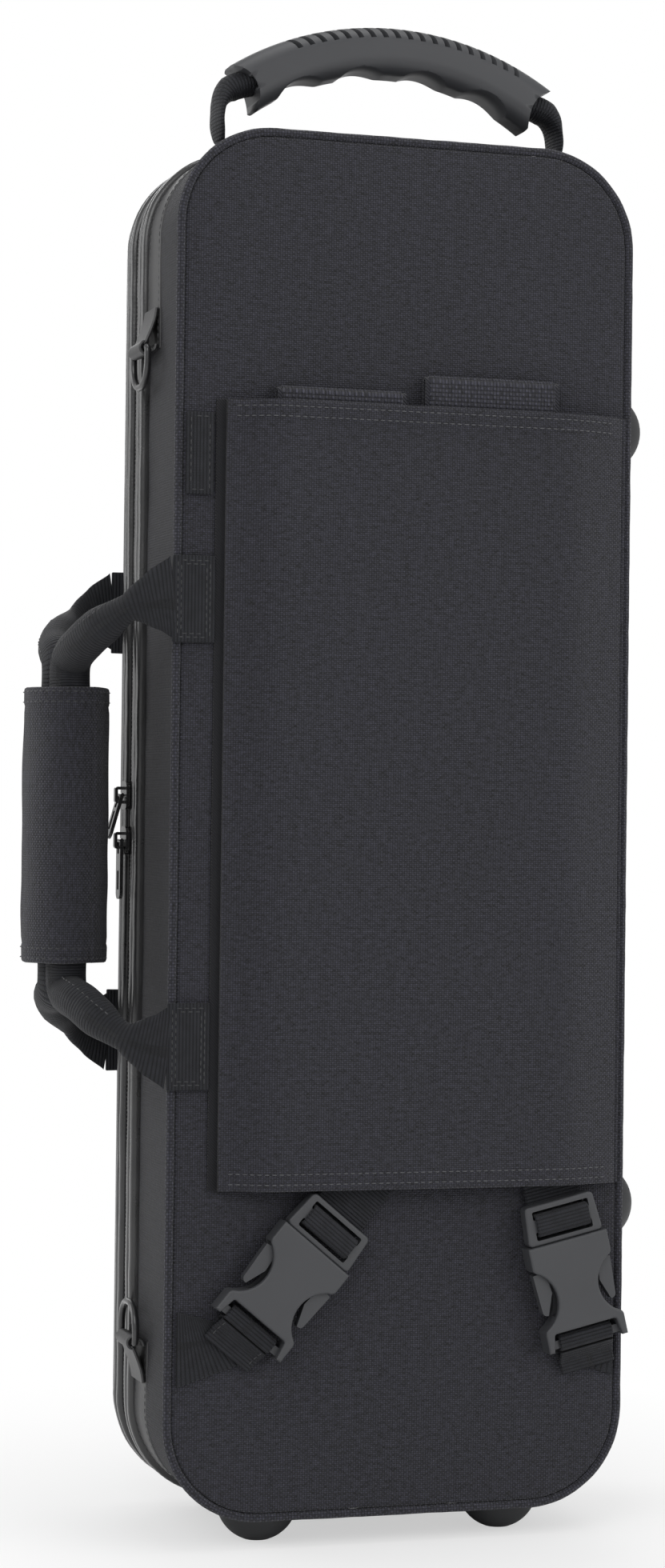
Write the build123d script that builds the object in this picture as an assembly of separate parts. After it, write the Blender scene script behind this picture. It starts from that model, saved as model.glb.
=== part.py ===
"""Soft-covered soprano saxophone case, standing on its short end.

The frame has +Z up, -Y towards the back panel with its stowed shoulder straps,
-X towards the zipped side and its carry handle, +X towards the hinged side.
Z is zero on the floor, under the middle of the four base feet. Millimetres.
"""
from build123d import *
import os
from math import atan2, cos, degrees, hypot, radians, sin, sqrt

os.makedirs("parts", exist_ok=True)

# Case body: a deep tray in front, a shallower lid behind, zipped together
body_w = 240.0            # across the fabric of the two side walls
body_h = 702.0            # across the fabric of the two end walls
case_depth = 130.0        # back panel face to lid face
corner_r = 47.0           # outer radius of the four corners
foot_h = 18.0             # floor to the lower end wall
cover_t = 1.5             # fabric of walls and lid
wall_t = 7.0              # rigid core of the walls
plate_t = 5.0             # rigid core of the panel and of the lid face
panel_t = 3.0             # padded fabric of the back panel
panel_inset = 0.6         # panel edge to the line of the side walls
lid_edge_r = 5.0          # rounding of the lid's far edge
cover_lag = 1.0           # start of the side fabric behind the panel fabric

# Piping round the back panel
piping_r = 2.3
piping_out = 1.8          # piping centre outside the line of the side walls

# Zip lips, tapes and coils
tray_band_w = 71.5        # side fabric between panel and near lip
tray_lip_w = 13.5
lid_lip_w = 13.0
lip_proud = 4.5
lip_edge_r = 3.2
tape_w = 5.1
tape_t = 1.2
zip_split = 0.3           # clearance between the two halves of the zip
coil_w = 3.9
coil_h = 2.8
coil_edge_r = 1.3
coil_inset = 0.1          # coil edge to the edge of its tape
zip_end_inset = 14.0      # zip end to the hinged side
zip_end_gap = 0.4

# Fabric hinge on the +X side
hinge_strip_t = 1.6
tray_strip_w = 12.0       # sewn width on the tray fabric
lid_strip_w = 10.5

# Leatherette corner bands
band_t = 1.5
band_w = 25.0
band_gap = 0.2            # band to lip
band_end_in = 23.0        # band ends on the end walls, from the zipped side

# Rubber feet and side bumpers
foot_r = 21.0
foot_rim_h = 4.0
foot_flat_r = 7.0
foot_lip_w = 0.6          # flange beyond the dome
foot_swell_share = 0.62   # of the dome's width and height, halfway round it
foot_screw_r = 3.4        # screw well in the middle
foot_screw_depth = 4.0
screw_clear = 0.3
screw_head_h = 2.2
screw_socket_r = 1.5
screw_socket_depth = 1.2
base_foot_in = 54.0       # side wall to the middle of a base foot
tray_foot_in = 30.0       # back panel to the middle of a tray foot
lid_foot_gap = 0.3        # far lip to the lid feet
lid_foot_r = 8.4          # narrow feet beside the lid's rounded edge
lid_foot_flat_r = 5.2
bumper_drop = 140.0       # upper bumpers below the upper end wall
bumper_rise = 151.0       # lower bumpers above the lower end wall

# Fabric panel on the hinged side
side_panel_t = 2.6
side_panel_rise = 95.0    # lower edge above the lower end wall
side_panel_drop = 170.0   # upper edge below the upper end wall
side_panel_in = 6.0       # near edge behind the back panel
side_panel_w = 52.0
side_panel_r = 12.0
side_panel_gap = 0.5      # ring of space round the lower bumper

# Foam inside
liner_gap = 0.3
floor_pad_t = 12.0
cradle_top_gap = 2.0      # cradle top below the tray edge
lid_pad_t = 12.0
pad_edge_r = 3.0
horn_in = 78.0            # middle of the instrument's recess, from the zipped side
horn_rise = 26.0          # recess above the lower end wall
horn_drop = 30.0          # recess below the upper end wall
bell_w = 98.0
bell_l = 62.0
key_w = 78.0              # width over the keywork
key_drop = 160.0          # end of the keywork below the upper end wall
neck_w = 52.0
recess_r = 10.0
box_wall = 27.0           # bell recess to the compartments beside it
box_in = 19.0             # compartments to the hinged side
box_rise = 42.0           # lowest compartment above the lower end wall
box_drop = 44.0           # highest compartment below the upper end wall
box_partition = 22.0
mouthpiece_l = 110.0
crook_l = 142.0
compartment_r = 8.0

# End handle: arched moulded grip over webbing
end_handle_in = 40.0      # back panel to the middle of the grip
grip_crest_in = 2.0       # crest's tips inside the straps' feet
grip_heel_in = 14.0       # belly's ends inside the crest's tips
grip_tip_rise = 42.0      # heights above the upper end wall
grip_crest_rise = 68.0
grip_heel_rise = 19.0
grip_belly_rise = 43.0
grip_depth = 29.0
grip_round_r = 9.5
grip_slots = 19
grip_slot_pitch_share = 0.0807    # of half the crest's length
grip_slot_w = 1.7
grip_slot_l = 26.5
grip_slot_depth = 4.2
grip_slot_turn = 28.0     # degrees off the cross direction
finger_r = 19.0
finger_pitch = 31.0
finger_depth = 3.6
fingers = 4
mouth_r = 17.0            # concave ends of the grip
mouth_bite = 5.0
mouth_pocket_l = 14.0
mouth_pocket_clear = 0.4
end_web_w = 25.0
end_web_t = 5.0
end_strap_foot_in = 30.0  # sides of the case to the middle of a strap where it is sewn down
end_patch_in = 17.0       # inner end of the sewn patch, from the strap's middle
end_patch_t = 2.4
end_strap_bow = 4.0       # outward bow of the strap
end_pivot_gap = 0.4

# Side handles: webbing folded to a tube, joined by a two-part grip wrap
side_web_w = 44.0
side_web_t = 2.2
side_patch_in = 17.0      # inner edge of a patch inside the zipped side
side_patch_out = 5.0      # outer edge beyond the zipped side
side_patch_share = 0.322  # middle of the upper patch to that of the lower one, of the height
side_pivot_gap = 0.3
tube_r = 10.5
tube_bend_r = 13.5
side_grip_out = 44.5      # middle of the grip outside the zipped side
side_grip_in = 42.0       # ends of the grip inside the middles of the patches
side_grip_sag = 2.0       # middle of the grip below the middle of the case
side_grip_half_x = 21.5
side_grip_half_y = 24.5
side_grip_split = 0.5
side_grip_hem_l = 9.0
side_grip_hem_t = 0.8
side_tube_y = 11.5        # tube axis to the split
fold_out = 22.0           # patch edge to the end of the folded stretch
fold_back = 8.0
fold_drop = 6.0
elbow_out = 36.0
elbow_back = 32.0
elbow_drop = 20.0
tube_lead = 13.0          # straight run outside the grip

# D-rings on the zipped side
ring_wire_r = 1.8
ring_w = 34.0             # outside width
ring_l = 23.0             # outside length
ring_corner_r = 2.6
ring_bow_r = 13.0
ring_drop = 105.0         # bar of the upper ring below the upper end wall
ring_rise = 82.0          # bar of the lower ring above the lower end wall
ring_out = 8.2            # bar axis outside the side wall
ring_tab_w = 24.0
ring_tab_l = 21.0
ring_tab_t = 1.9
ring_tab_clear = 0.3

# Zip sliders and pulls on the zipped side
slider_w = 12.6
slider_l = 15.0
slider_t = 2.0
slider_round_r = 3.5
slider_clear = 0.3
slider_stem_w = 7.6       # part of the slider between the lips
bridge_w = 3.0
bridge_l = 9.0
bridge_h = 5.0
bridge_t = 1.6
pull_bar_r = 1.1
pull_w = 9.0
pull_l = 31.0
pull_short_l = 24.0
pull_t = 1.8
pull_eye_l = 7.0
pull_slot_w = 3.4
pull_slot_l = 10.0
pull_lean = 16.0          # degrees, upper pull resting outwards
slider_high_rise = 14.0   # upper slider above the middle of the case
slider_low_drop = 10.0    # lower slider below it

# Strap cover on the back panel
flap_left_in = 22.0       # free edge inside the zipped side
flap_right_in = 2.8       # sewn edge inside the hinged side
flap_rise = 165.0         # lower hem above the lower end wall
flap_drop = 136.0         # upper hem below the upper end wall
flap_t = 2.4
flap_pivot_gap = 0.3
flap_seam_w = 2.0
flap_slope_left = 22.0    # free edge to where the cover has risen over the straps
flap_slope_right = 29.2   # sewn edge to there
flap_bend_r = 14.0
hem_w = 9.0               # folded hem along top and bottom
hem_t = 0.7
hook_w = 14.0
hook_in = 17.2            # outer edge of the hook strip inside the zipped side
hook_t = 1.0

# Shoulder straps, folded in half under the cover
strap_gap = 0.4
strap_ply_t = 3.8
strap_rise = 26.0         # lower ends above the cover's lower hem
strap_left_in = 26.0      # outer edges inside the cover's edges
strap_right_in = 37.7
strap_split_x = 1.5       # middle of the space between the straps
strap_split_w = 11.0
strap_left_over = 8.0     # folds above the cover's upper hem
strap_right_over = 17.0
binding_w = 9.0
binding_t = 0.9
strap_web_t = 1.6

# Side-release buckles on the strap ends
female_w = 44.5
female_l = 56.0           # collar to horn tips
female_t = 11.0
female_wall = 2.6
collar_l = 12.5
bite_l = 31.5             # rounded bites that free the thumb pads
bite_depth = 10.5
bite_lip_r = 3.0
window_l = 25.5           # open sides, from the collar
horn_l = 9.5
horn_w = 4.9              # width of a horn at its root and at its tip
horn_tip_w = 3.0
horn_corner_r = 1.4
tail_bar_gap = 4.2        # body to the bar that carries the webbing
tail_bar_w = 4.2
tail_bar_t = 4.2
tail_bar_rise = 2.4
web_w = 30.0
web_t = 1.7
web_bend_r = 1.3
slot_l = 31.6
slot_corner_r = 1.0
male_frame_l = 21.0
male_frame_t = 7.0
male_frame_w = 42.0
male_frame_top_w = 38.5
end_bar_w = 2.8
ladder_bar_w = 6.2
guide_w = 8.0
guide_l = 28.0
arm_w = 4.4
arm_root_x = 11.5
arm_pad_start = 2.0       # thumb pad, from the collar
arm_pad_l = 22.0
arm_pad_w = 8.4
arm_pad_in = 0.3          # pad inside the line of the collar, at its start and at its end
arm_pad_taper = 1.4
arm_pad_r = 2.4
arm_clear = 0.35
part_edge_r = 1.2
left_buckle_in = 86.0     # adjuster end inside the zipped side
left_buckle_drop = 13.0   # and below the cover's lower hem
left_buckle_heading = -130.2
right_buckle_in = 37.0    # adjuster end inside the hinged side
right_buckle_drop = 7.5
right_buckle_heading = -76.8
buckle_gap = 2.2          # behind the buckle, to the panel
web_lead = 26.0           # webbing between the buckle and the strap it comes from
left_web_rise = (66.0, 104.5)     # webbing at the side seams above the lower end wall
right_web_rise = (64.0, 97.0)

# Webbing tab beside the strap cover
tab_in = 1.5              # tab inside the zipped side
tab_w = 14.2
tab_l_share = 0.52        # of the space between the carry handle's patch and the cover's upper hem
tab_drop_share = 0.09     # tab below that hem
tab_t = 1.8

# Document pocket on the lid
pocket_in = 24.0          # pocket inside both sides
pocket_rise = 56.0        # pocket above the lower end wall
pocket_drop = 80.0        # pocket below the upper end wall
pocket_t = 7.0
pocket_r = 26.0
pocket_edge_r = 4.0
pocket_zip_drop = 34.0    # zip below the pocket's upper edge
pocket_zip_in = 20.0      # zip ends inside the pocket's sides
pocket_groove_w = 12.0
pocket_groove_t = 2.4
pocket_coil_w = 5.0
pocket_coil_h = 1.8
pocket_tape_t = 0.8
pocket_slider_in = 18.0   # slider to the end of the zip
pocket_slider_w = 9.0
pocket_slider_l = 10.0
pocket_slider_t = 1.6
pocket_pull_l = 22.0
overrun = 5.0             # how far cutters run past what they cut

# Planes and places that several pieces share
front_y = -case_depth / 2
back_y = case_depth / 2
mid_z = foot_h + body_h / 2
top_z = foot_h + body_h
half_w = body_w / 2
core_front_y = front_y + panel_t
near_lip_y = front_y + tray_band_w
tray_edge_y = near_lip_y + tray_lip_w
zip_y = tray_edge_y + tape_w + zip_split / 2
lid_edge_y = zip_y + zip_split / 2 + tape_w
far_lip_y = lid_edge_y + lid_lip_w
zip_end_x = half_w - zip_end_inset
inner_front_y = core_front_y + plate_t
inner_back_y = back_y - cover_t - plate_t
base_foot_x = half_w - base_foot_in
tray_foot_y = front_y + tray_foot_in
lid_foot_y = far_lip_y + lid_foot_gap + lid_foot_r
bumper_high_z = top_z - bumper_drop
bumper_low_z = foot_h + bumper_rise
horn_x = horn_in - half_w
end_handle_y = front_y + end_handle_in
end_strap_foot_x = half_w - end_strap_foot_in
grip_top_half = end_strap_foot_x - grip_crest_in
grip_low_half = grip_top_half - grip_heel_in
grip_slot_pitch = grip_slot_pitch_share * grip_top_half
side_patch_pitch = side_patch_share * body_h
side_high_z = mid_z + side_patch_pitch / 2
side_low_z = mid_z - side_patch_pitch / 2
side_grip_l = side_patch_pitch - 2 * side_grip_in
side_grip_x = -half_w - side_grip_out
side_grip_z = (mid_z - side_grip_sag - side_grip_l / 2, mid_z - side_grip_sag + side_grip_l / 2)
ring_y = near_lip_y - band_gap - band_w / 2
ring_high_z = top_z - ring_drop
ring_low_z = foot_h + ring_rise
slider_high_z = mid_z + slider_high_rise
slider_low_z = mid_z - slider_low_drop
flap_left = flap_left_in - half_w
flap_right = half_w - flap_right_in
flap_low_z = foot_h + flap_rise
flap_high_z = top_z - flap_drop
strap_low_z = flap_low_z + strap_rise
strap_left_x = (flap_left + strap_left_in, strap_split_x - strap_split_w / 2)
strap_right_x = (strap_split_x + strap_split_w / 2, flap_right - strap_right_in)
strap_left_z = flap_high_z + strap_left_over
strap_right_z = flap_high_z + strap_right_over
left_buckle = (left_buckle_in - half_w, flap_low_z - left_buckle_drop, left_buckle_heading)
right_buckle = (half_w - right_buckle_in, flap_low_z - right_buckle_drop, right_buckle_heading)
pocket_high_z = top_z - pocket_drop
pocket_zip_z = pocket_high_z - pocket_zip_drop
pocket_zip_half = half_w - pocket_in - pocket_zip_in
pocket_slider_x = pocket_zip_half - pocket_slider_in


def front(y):
    """Plane facing the viewer at depth y, its origin at the middle of the body."""
    return Plane(origin=(0, y, mid_z), x_dir=(1, 0, 0), z_dir=(0, -1, 0))


def outline(offset=0.0):
    """Rounded outline of the body, grown or shrunk by an offset."""
    return RectangleRounded(body_w + 2 * offset, body_h + 2 * offset, corner_r + offset)


def slab(shape, y0, y1):
    """Prism of a flat shape from depth y0 back to depth y1."""
    return extrude(front(y0) * shape, amount=y0 - y1)


def ring(inner, outer, y0, y1):
    """Band round the body between two offsets of its outline."""
    return slab(outline(outer) - outline(inner), y0, y1)


def block(x, y, z):
    """Box from its low and high limits on each axis."""
    size = [b - a for a, b in (x, y, z)]
    mid = [(a + b) / 2 for a, b in (x, y, z)]
    return Pos(*mid) * Box(*size)


def edges_at_y(solid, y):
    """Edges that lie wholly in the plane at depth y."""
    return solid.edges().filter_by_position(Axis.Y, y - 0.01 * cover_t, y + 0.01 * cover_t)


def keep_left_of(solid, x):
    """Part of a solid that lies on the zipped side of x."""
    return solid & block((-body_w, x), (2 * front_y, 2 * back_y), (-body_h, 2 * body_h))


def keep_right_of(solid, x):
    """Part of a solid that lies on the hinged side of x."""
    return solid & block((x, body_w), (2 * front_y, 2 * back_y), (-body_h, 2 * body_h))


# Tray, lid and their fabric

def tray_shell():
    """Rigid tray, open towards the lid."""
    shell = slab(outline(-cover_t), core_front_y, tray_edge_y)
    cavity = slab(outline(-cover_t - wall_t), inner_front_y, tray_edge_y + overrun)
    return shell - cavity


def lid_form(offset, y0):
    """Solid of the lid with its rounded far edge, shrunk by an offset."""
    far = back_y - offset
    form = slab(outline(-offset), y0, far)
    return fillet(edges_at_y(form, far), lid_edge_r - offset)


def lid_shell():
    """Rigid lid, open towards the tray."""
    cavity = slab(outline(-cover_t - wall_t), lid_edge_y - overrun, inner_back_y)
    return lid_form(cover_t, lid_edge_y) - cavity


def tray_side_fabric():
    """Fabric round the tray walls, wider on the hinged side where no lip covers it."""
    start = core_front_y + cover_lag
    band = ring(-cover_t, 0, start, near_lip_y)
    hinge_part = keep_right_of(ring(-cover_t, 0, near_lip_y, tray_edge_y), zip_end_x + zip_end_gap)
    return band + hinge_part


def lid_fabric():
    """Fabric of the lid walls and face in one fitted cover."""
    cover = lid_form(0, far_lip_y) - lid_form(cover_t, far_lip_y - overrun)
    hinge_part = keep_right_of(ring(-cover_t, 0, lid_edge_y, far_lip_y), zip_end_x + zip_end_gap)
    return cover + hinge_part


def panel_fabric():
    """Padded fabric of the back panel."""
    panel = slab(outline(-panel_inset), front_y, core_front_y)
    return fillet(edges_at_y(panel, front_y), panel_inset)


def panel_piping():
    """Round piping in the seam between back panel and side walls."""
    path = (front(front_y + piping_r) * outline(piping_out)).face().outer_wire()
    section = Plane(origin=path @ 0, z_dir=path % 0) * Circle(piping_r)
    return sweep(section, path=path)


# Zip

def zip_lip(y0, y1):
    """Rounded lip that guards one half of the zip."""
    lip = ring(-cover_t, lip_proud, y0, y1)
    lip = fillet(lip.edges().filter_by(lambda e: outer_edge(e, lip_proud)), lip_edge_r)
    return keep_left_of(lip, zip_end_x)


def outer_edge(edge, offset):
    """True for an edge that runs on the outline grown by an offset."""
    box = edge.bounding_box()
    reach = max(abs(box.min.X), abs(box.max.X)) - half_w
    rise = max(abs(box.min.Z - mid_z), abs(box.max.Z - mid_z)) - body_h / 2
    flat = box.size.Y < zip_split
    return flat and (abs(reach - offset) < zip_split or abs(rise - offset) < zip_split)


def zip_tape(y0, y1):
    """Flat tape beside one lip."""
    return keep_left_of(ring(-cover_t, tape_t - cover_t, y0, y1), zip_end_x)


def zip_coil(y0, y1):
    """One half of the coil, a rounded bead along the tape."""
    low = tape_t - cover_t
    coil = ring(low, low + coil_h, y0, y1)
    coil = fillet(coil.edges().filter_by(lambda e: outer_edge(e, low + coil_h)), coil_edge_r)
    return keep_left_of(coil, zip_end_x)


def hinge_strip(y0, y1):
    """Fabric strip along the hinged side."""
    return keep_right_of(ring(0, hinge_strip_t, y0, y1), zip_end_x + zip_end_gap)


def corner_band(upper):
    """Leatherette band beside the near lip, round one corner of the zipped side."""
    band = ring(0, band_t, near_lip_y - band_gap - band_w, near_lip_y - band_gap)
    z = (ring_high_z, 2 * body_h) if upper else (-body_h, ring_low_z)
    return band & block((-body_w, band_end_in - half_w), (front_y, back_y), z)


# Feet

def foot_body(radius, flat_r):
    """Domed rubber foot on its flange, pointing along +Z, with a screw well."""
    edge = radius - foot_lip_w
    via = (flat_r + foot_swell_share * (edge - flat_r),
           foot_rim_h + foot_swell_share * (foot_h - foot_rim_h))
    profile = Polyline((edge, foot_rim_h), (radius, foot_rim_h), (radius, 0), (0, 0),
                       (0, foot_h), (flat_r, foot_h))
    dome = ThreePointArc((flat_r, foot_h), via, (edge, foot_rim_h))
    solid = revolve(Plane.XZ * make_face(profile + dome), Axis.Z)
    well = Pos(0, 0, foot_h) * Cylinder(foot_screw_r, 2 * foot_screw_depth)
    return solid - well


def foot_screw():
    """Pan head of the screw in the foot's well."""
    seat = foot_h - foot_screw_depth
    head = Cylinder(foot_screw_r - screw_clear, screw_head_h, align=(Align.CENTER, Align.CENTER, Align.MIN))
    socket = Pos(0, 0, screw_head_h) * Cylinder(screw_socket_r, 2 * screw_socket_depth)
    return Pos(0, 0, seat) * (head - socket)


def base_place(x, y):
    """Where a foot sits under the lower end wall, pointing down."""
    return Pos(x, y, foot_h) * Rot(180, 0, 0)


def side_place(y, z):
    """Where a bumper sits on the hinged side, pointing along +X."""
    return Pos(half_w, y, z) * Rot(0, 90, 0)


def foot_group(shape, base_y, bumper_y):
    """Two base feet and two side bumpers of one half of the case."""
    places = [base_place(x, base_y) for x in (-base_foot_x, base_foot_x)]
    places += [side_place(bumper_y, z) for z in (bumper_low_z, bumper_high_z)]
    return Compound([place * shape for place in places])


def side_panel():
    """Fabric panel on the hinged side, cut out round the lower bumper."""
    low_z = foot_h + side_panel_rise
    h = top_z - side_panel_drop - low_z
    mid = (half_w, front_y + side_panel_in + side_panel_w / 2, low_z + h / 2)
    plane = Plane(origin=mid, x_dir=(0, 1, 0), z_dir=(1, 0, 0))
    panel = extrude(plane * RectangleRounded(side_panel_w, h, side_panel_r), amount=side_panel_t)
    hole = side_place(tray_foot_y, bumper_low_z) * Cylinder(foot_r + side_panel_gap, 2 * side_panel_t)
    return (panel - hole).solids().sort_by(SortBy.VOLUME)[-1]


# Foam inside

def floor_pad():
    """Foam pad on the bottom of the tray."""
    inner = outline(-cover_t - wall_t - liner_gap)
    return slab(inner, inner_front_y, inner_front_y + floor_pad_t)


def horn_recess():
    """Outline of the recess for bell, keywork and neck end of the instrument."""
    low = horn_rise - body_h / 2
    key_end = body_h / 2 - key_drop
    high = body_h / 2 - horn_drop
    bell = Pos(horn_x, low + bell_l / 2) * RectangleRounded(bell_w, bell_l, recess_r)
    keys = Pos(horn_x, (low + key_end) / 2) * RectangleRounded(key_w, key_end - low, recess_r)
    neck = Pos(horn_x, (key_end + high) / 2 - recess_r) * RectangleRounded(
        neck_w, high - key_end + 2 * recess_r, recess_r)
    return bell + keys + neck


def compartments():
    """Outlines of the accessory, mouthpiece and crook compartments, lowest first."""
    x0 = horn_x + bell_w / 2 + box_wall
    x1 = half_w - box_in
    low = box_rise - body_h / 2
    high = body_h / 2 - box_drop
    accessory_l = high - low - mouthpiece_l - crook_l - 2 * box_partition
    outlines = []
    for length in (accessory_l, mouthpiece_l, crook_l):
        shape = RectangleRounded(x1 - x0, length, compartment_r)
        outlines.append(Pos((x0 + x1) / 2, low + length / 2) * shape)
        low += length + box_partition
    return outlines


def cradle():
    """Foam cradle with the recess for the horn and three compartments."""
    shape = outline(-cover_t - wall_t - liner_gap) - horn_recess()
    for hollow in compartments():
        shape -= hollow
    top_y = tray_edge_y - cradle_top_gap
    return slab(shape, inner_front_y + floor_pad_t, top_y)


def lid_pad():
    """Foam pad in the lid that holds the horn down."""
    near = inner_back_y - lid_pad_t
    pad = slab(outline(-cover_t - wall_t - liner_gap), near, inner_back_y)
    return fillet(edges_at_y(pad, near), pad_edge_r)


# End handle

def end_handle_plane():
    """Upright plane through the middle of the grip, its origin on the upper end wall."""
    return Plane(origin=(0, end_handle_y, top_z), x_dir=(1, 0, 0), z_dir=(0, -1, 0))


def end_wall_rise(x):
    """Height of the rounded outline at x, from the flat of the upper end wall."""
    into_corner = max(abs(x) - (half_w - corner_r), 0)
    return sqrt(corner_r**2 - into_corner**2) - corner_r


def end_pivot_rise():
    """Height of the end handle's turning line above the upper end wall."""
    surface = end_wall_rise(end_strap_foot_x - end_web_t / 2)
    return surface + end_patch_t + end_pivot_gap + end_web_w / 2


def grip_profile():
    """Side view of the moulded grip: crest arc, slanted ends, belly arc."""
    tips = [(side * grip_top_half, grip_tip_rise) for side in (-1, 1)]
    heels = [(side * grip_low_half, grip_heel_rise) for side in (1, -1)]
    crest = ThreePointArc(tips[0], (0, grip_crest_rise), tips[1])
    belly = ThreePointArc(heels[0], (0, grip_belly_rise), heels[1])
    ends = [Line(crest @ 1, belly @ 0), Line(belly @ 1, crest @ 0)]
    return make_face([crest, belly] + ends)


def arc_place(half, end_rise, crest_rise, s):
    """Point and slope, in degrees, on an arch at the distance s from its middle."""
    rise = crest_rise - end_rise
    radius = (half**2 + rise**2) / (2 * rise)
    turn = s / radius
    return radius * sin(turn), top_z + crest_rise - radius * (1 - cos(turn)), -degrees(turn)


def end_grip():
    """Moulded comfort grip with cooling slots on the crest and finger scallops below."""
    grip = extrude(end_handle_plane() * grip_profile(), amount=grip_depth / 2, both=True)
    long_edges = grip.edges().filter_by(GeomType.CIRCLE)
    grip = fillet(long_edges, grip_round_r)
    for i in range(fingers):
        s = (i - (fingers - 1) / 2) * finger_pitch
        x, z, _ = arc_place(grip_low_half, grip_heel_rise, grip_belly_rise, s)
        grip -= Pos(x, end_handle_y, z - finger_r + finger_depth) * Rot(90, 0, 0) * Cylinder(
            finger_r, 2 * grip_depth)
    for i in range(grip_slots):
        s = (i - (grip_slots - 1) / 2) * grip_slot_pitch
        x, z, slope = arc_place(grip_top_half, grip_tip_rise, grip_crest_rise, s)
        cutter = Box(grip_slot_w, grip_slot_l, 2 * grip_slot_depth)
        grip -= Pos(x, end_handle_y, z) * Rot(0, -slope, 0) * Rot(0, 0, grip_slot_turn) * cutter
    for side in (-1, 1):
        grip -= grip_mouth(side)
    return grip


def grip_end(side):
    """Middle of one slanted end of the grip and its outward direction."""
    x = side * (grip_top_half + grip_low_half) / 2
    z = (grip_tip_rise + grip_heel_rise) / 2
    run, rise = grip_top_half - grip_low_half, grip_tip_rise - grip_heel_rise
    length = hypot(run, rise)
    return x, z, side * rise / length, -run / length


def grip_mouth(side):
    """Concave end and the pocket that the webbing runs into."""
    x, z, ox, oz = grip_end(side)
    reach = mouth_r - mouth_bite
    bite = Pos(x + ox * reach, end_handle_y, top_z + z + oz * reach) * Rot(90, 0, 0) * Cylinder(
        mouth_r, 2 * grip_depth)
    clear = 2 * mouth_pocket_clear
    pocket = Plane(origin=(x, end_handle_y, top_z + z), x_dir=(0, 1, 0), z_dir=(ox, 0, oz)) * Box(
        end_web_w + clear, end_web_t + clear, 2 * mouth_pocket_l)
    return bite + pocket


def end_strap(side):
    """Webbing from the sewn foot up into the mouth of the grip."""
    x, z, ox, oz = grip_end(side)
    reach = mouth_pocket_l - mouth_pocket_clear
    low = (side * end_strap_foot_x, end_pivot_rise() - end_web_w / 2)
    bow = (side * (end_strap_foot_x + end_strap_bow), (low[1] + z) / 2)
    line = FilletPolyline(low, bow, (x + ox * end_web_t, z + oz * end_web_t),
                          (x - ox * reach, z - oz * reach), radius=end_web_t)
    strap = extrude(end_handle_plane() * trace(line, line_width=end_web_t), amount=end_web_w / 2, both=True)
    pivot_z = top_z + end_pivot_rise()
    rounded = Pos(0, end_handle_y, pivot_z) * Rot(0, 90, 0) * Cylinder(end_web_w / 2, body_w)
    above = block((-body_w, body_w), (front_y, back_y), (pivot_z, 2 * body_h))
    return strap & (rounded + above)


def end_patch(side):
    """Folded webbing foot sewn round the corner of the upper end wall."""
    x = sorted((side * (end_strap_foot_x - end_patch_in), side * (end_strap_foot_x + end_web_t)))
    band = ring(0, end_patch_t, end_handle_y - end_web_w / 2, end_handle_y + end_web_w / 2)
    return band & block(x, (front_y, back_y), (mid_z, 2 * body_h))


# Side handles

def side_patch(side, z):
    """Webbing patch sewn on the panel (side -1) or the lid face (side +1)."""
    x = (-half_w - side_patch_out, side_patch_in - half_w)
    y = sorted((side * back_y, side * (back_y + side_web_t)))
    return block(x, y, (z - side_web_w / 2, z + side_web_w / 2))


def side_strap(side, z, turn):
    """Webbing that leaves the patch flat and folds to a tube up to the grip wrap."""
    x0 = -half_w - side_patch_out - side_pivot_gap
    y0 = side * (back_y + side_web_t / 2)
    fold = Vector(x0 - fold_out, y0 - side * fold_back, z + turn * fold_drop)
    elbow = Vector(x0 - elbow_out, y0 - side * elbow_back, z + turn * elbow_drop)
    grip_end_z = side_grip_z[1] if turn < 0 else side_grip_z[0]
    tube_y = side * side_tube_y
    low = Vector(side_grip_x, tube_y, grip_end_z - turn * tube_lead)
    inside = Vector(side_grip_x, tube_y, grip_end_z + turn * tube_r)
    start = Plane(origin=(x0, y0, z), x_dir=(0, 1, 0), z_dir=(-1, 0, 0))
    lead = (elbow - fold).normalized()
    joint = Plane(origin=fold, x_dir=(0, 0, 1), z_dir=lead)
    flat = start * RectangleRounded(side_web_t, side_web_w, side_web_t / 4)
    folded = loft([flat, joint * Circle(tube_r)])
    path = FilletPolyline(fold, elbow, low, inside, radius=tube_bend_r)
    tube = sweep(joint * Circle(tube_r), path=path)
    return folded + tube


def side_grip_half(side):
    """Half of the grip wrap: rounded sleeve with raised end hems and a fold strip."""
    z0, z1 = side_grip_z
    base = Plane(origin=(side_grip_x, 0, z0))
    body = extrude(base * Ellipse(side_grip_half_x, side_grip_half_y), amount=z1 - z0)
    hem = Ellipse(side_grip_half_x + side_grip_hem_t, side_grip_half_y + side_grip_hem_t)
    for z in (z0, z1 - side_grip_hem_l):
        body += extrude(Plane(origin=(side_grip_x, 0, z)) * hem, amount=side_grip_hem_l)
    reach = 2 * side_grip_half_x + 2 * side_grip_half_y
    y = sorted((side * side_grip_split / 2, side * reach))
    half = body & block((side_grip_x - reach, side_grip_x + reach), y, (z0, z1))
    for turn, z in ((-1, z1), (1, z0)):
        bore_z = z + turn * tube_r
        bore = Pos(side_grip_x, side * side_tube_y, bore_z) * Cylinder(tube_r + ring_tab_clear, 2 * tube_r)
        half -= bore
    return half


# D-rings

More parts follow.
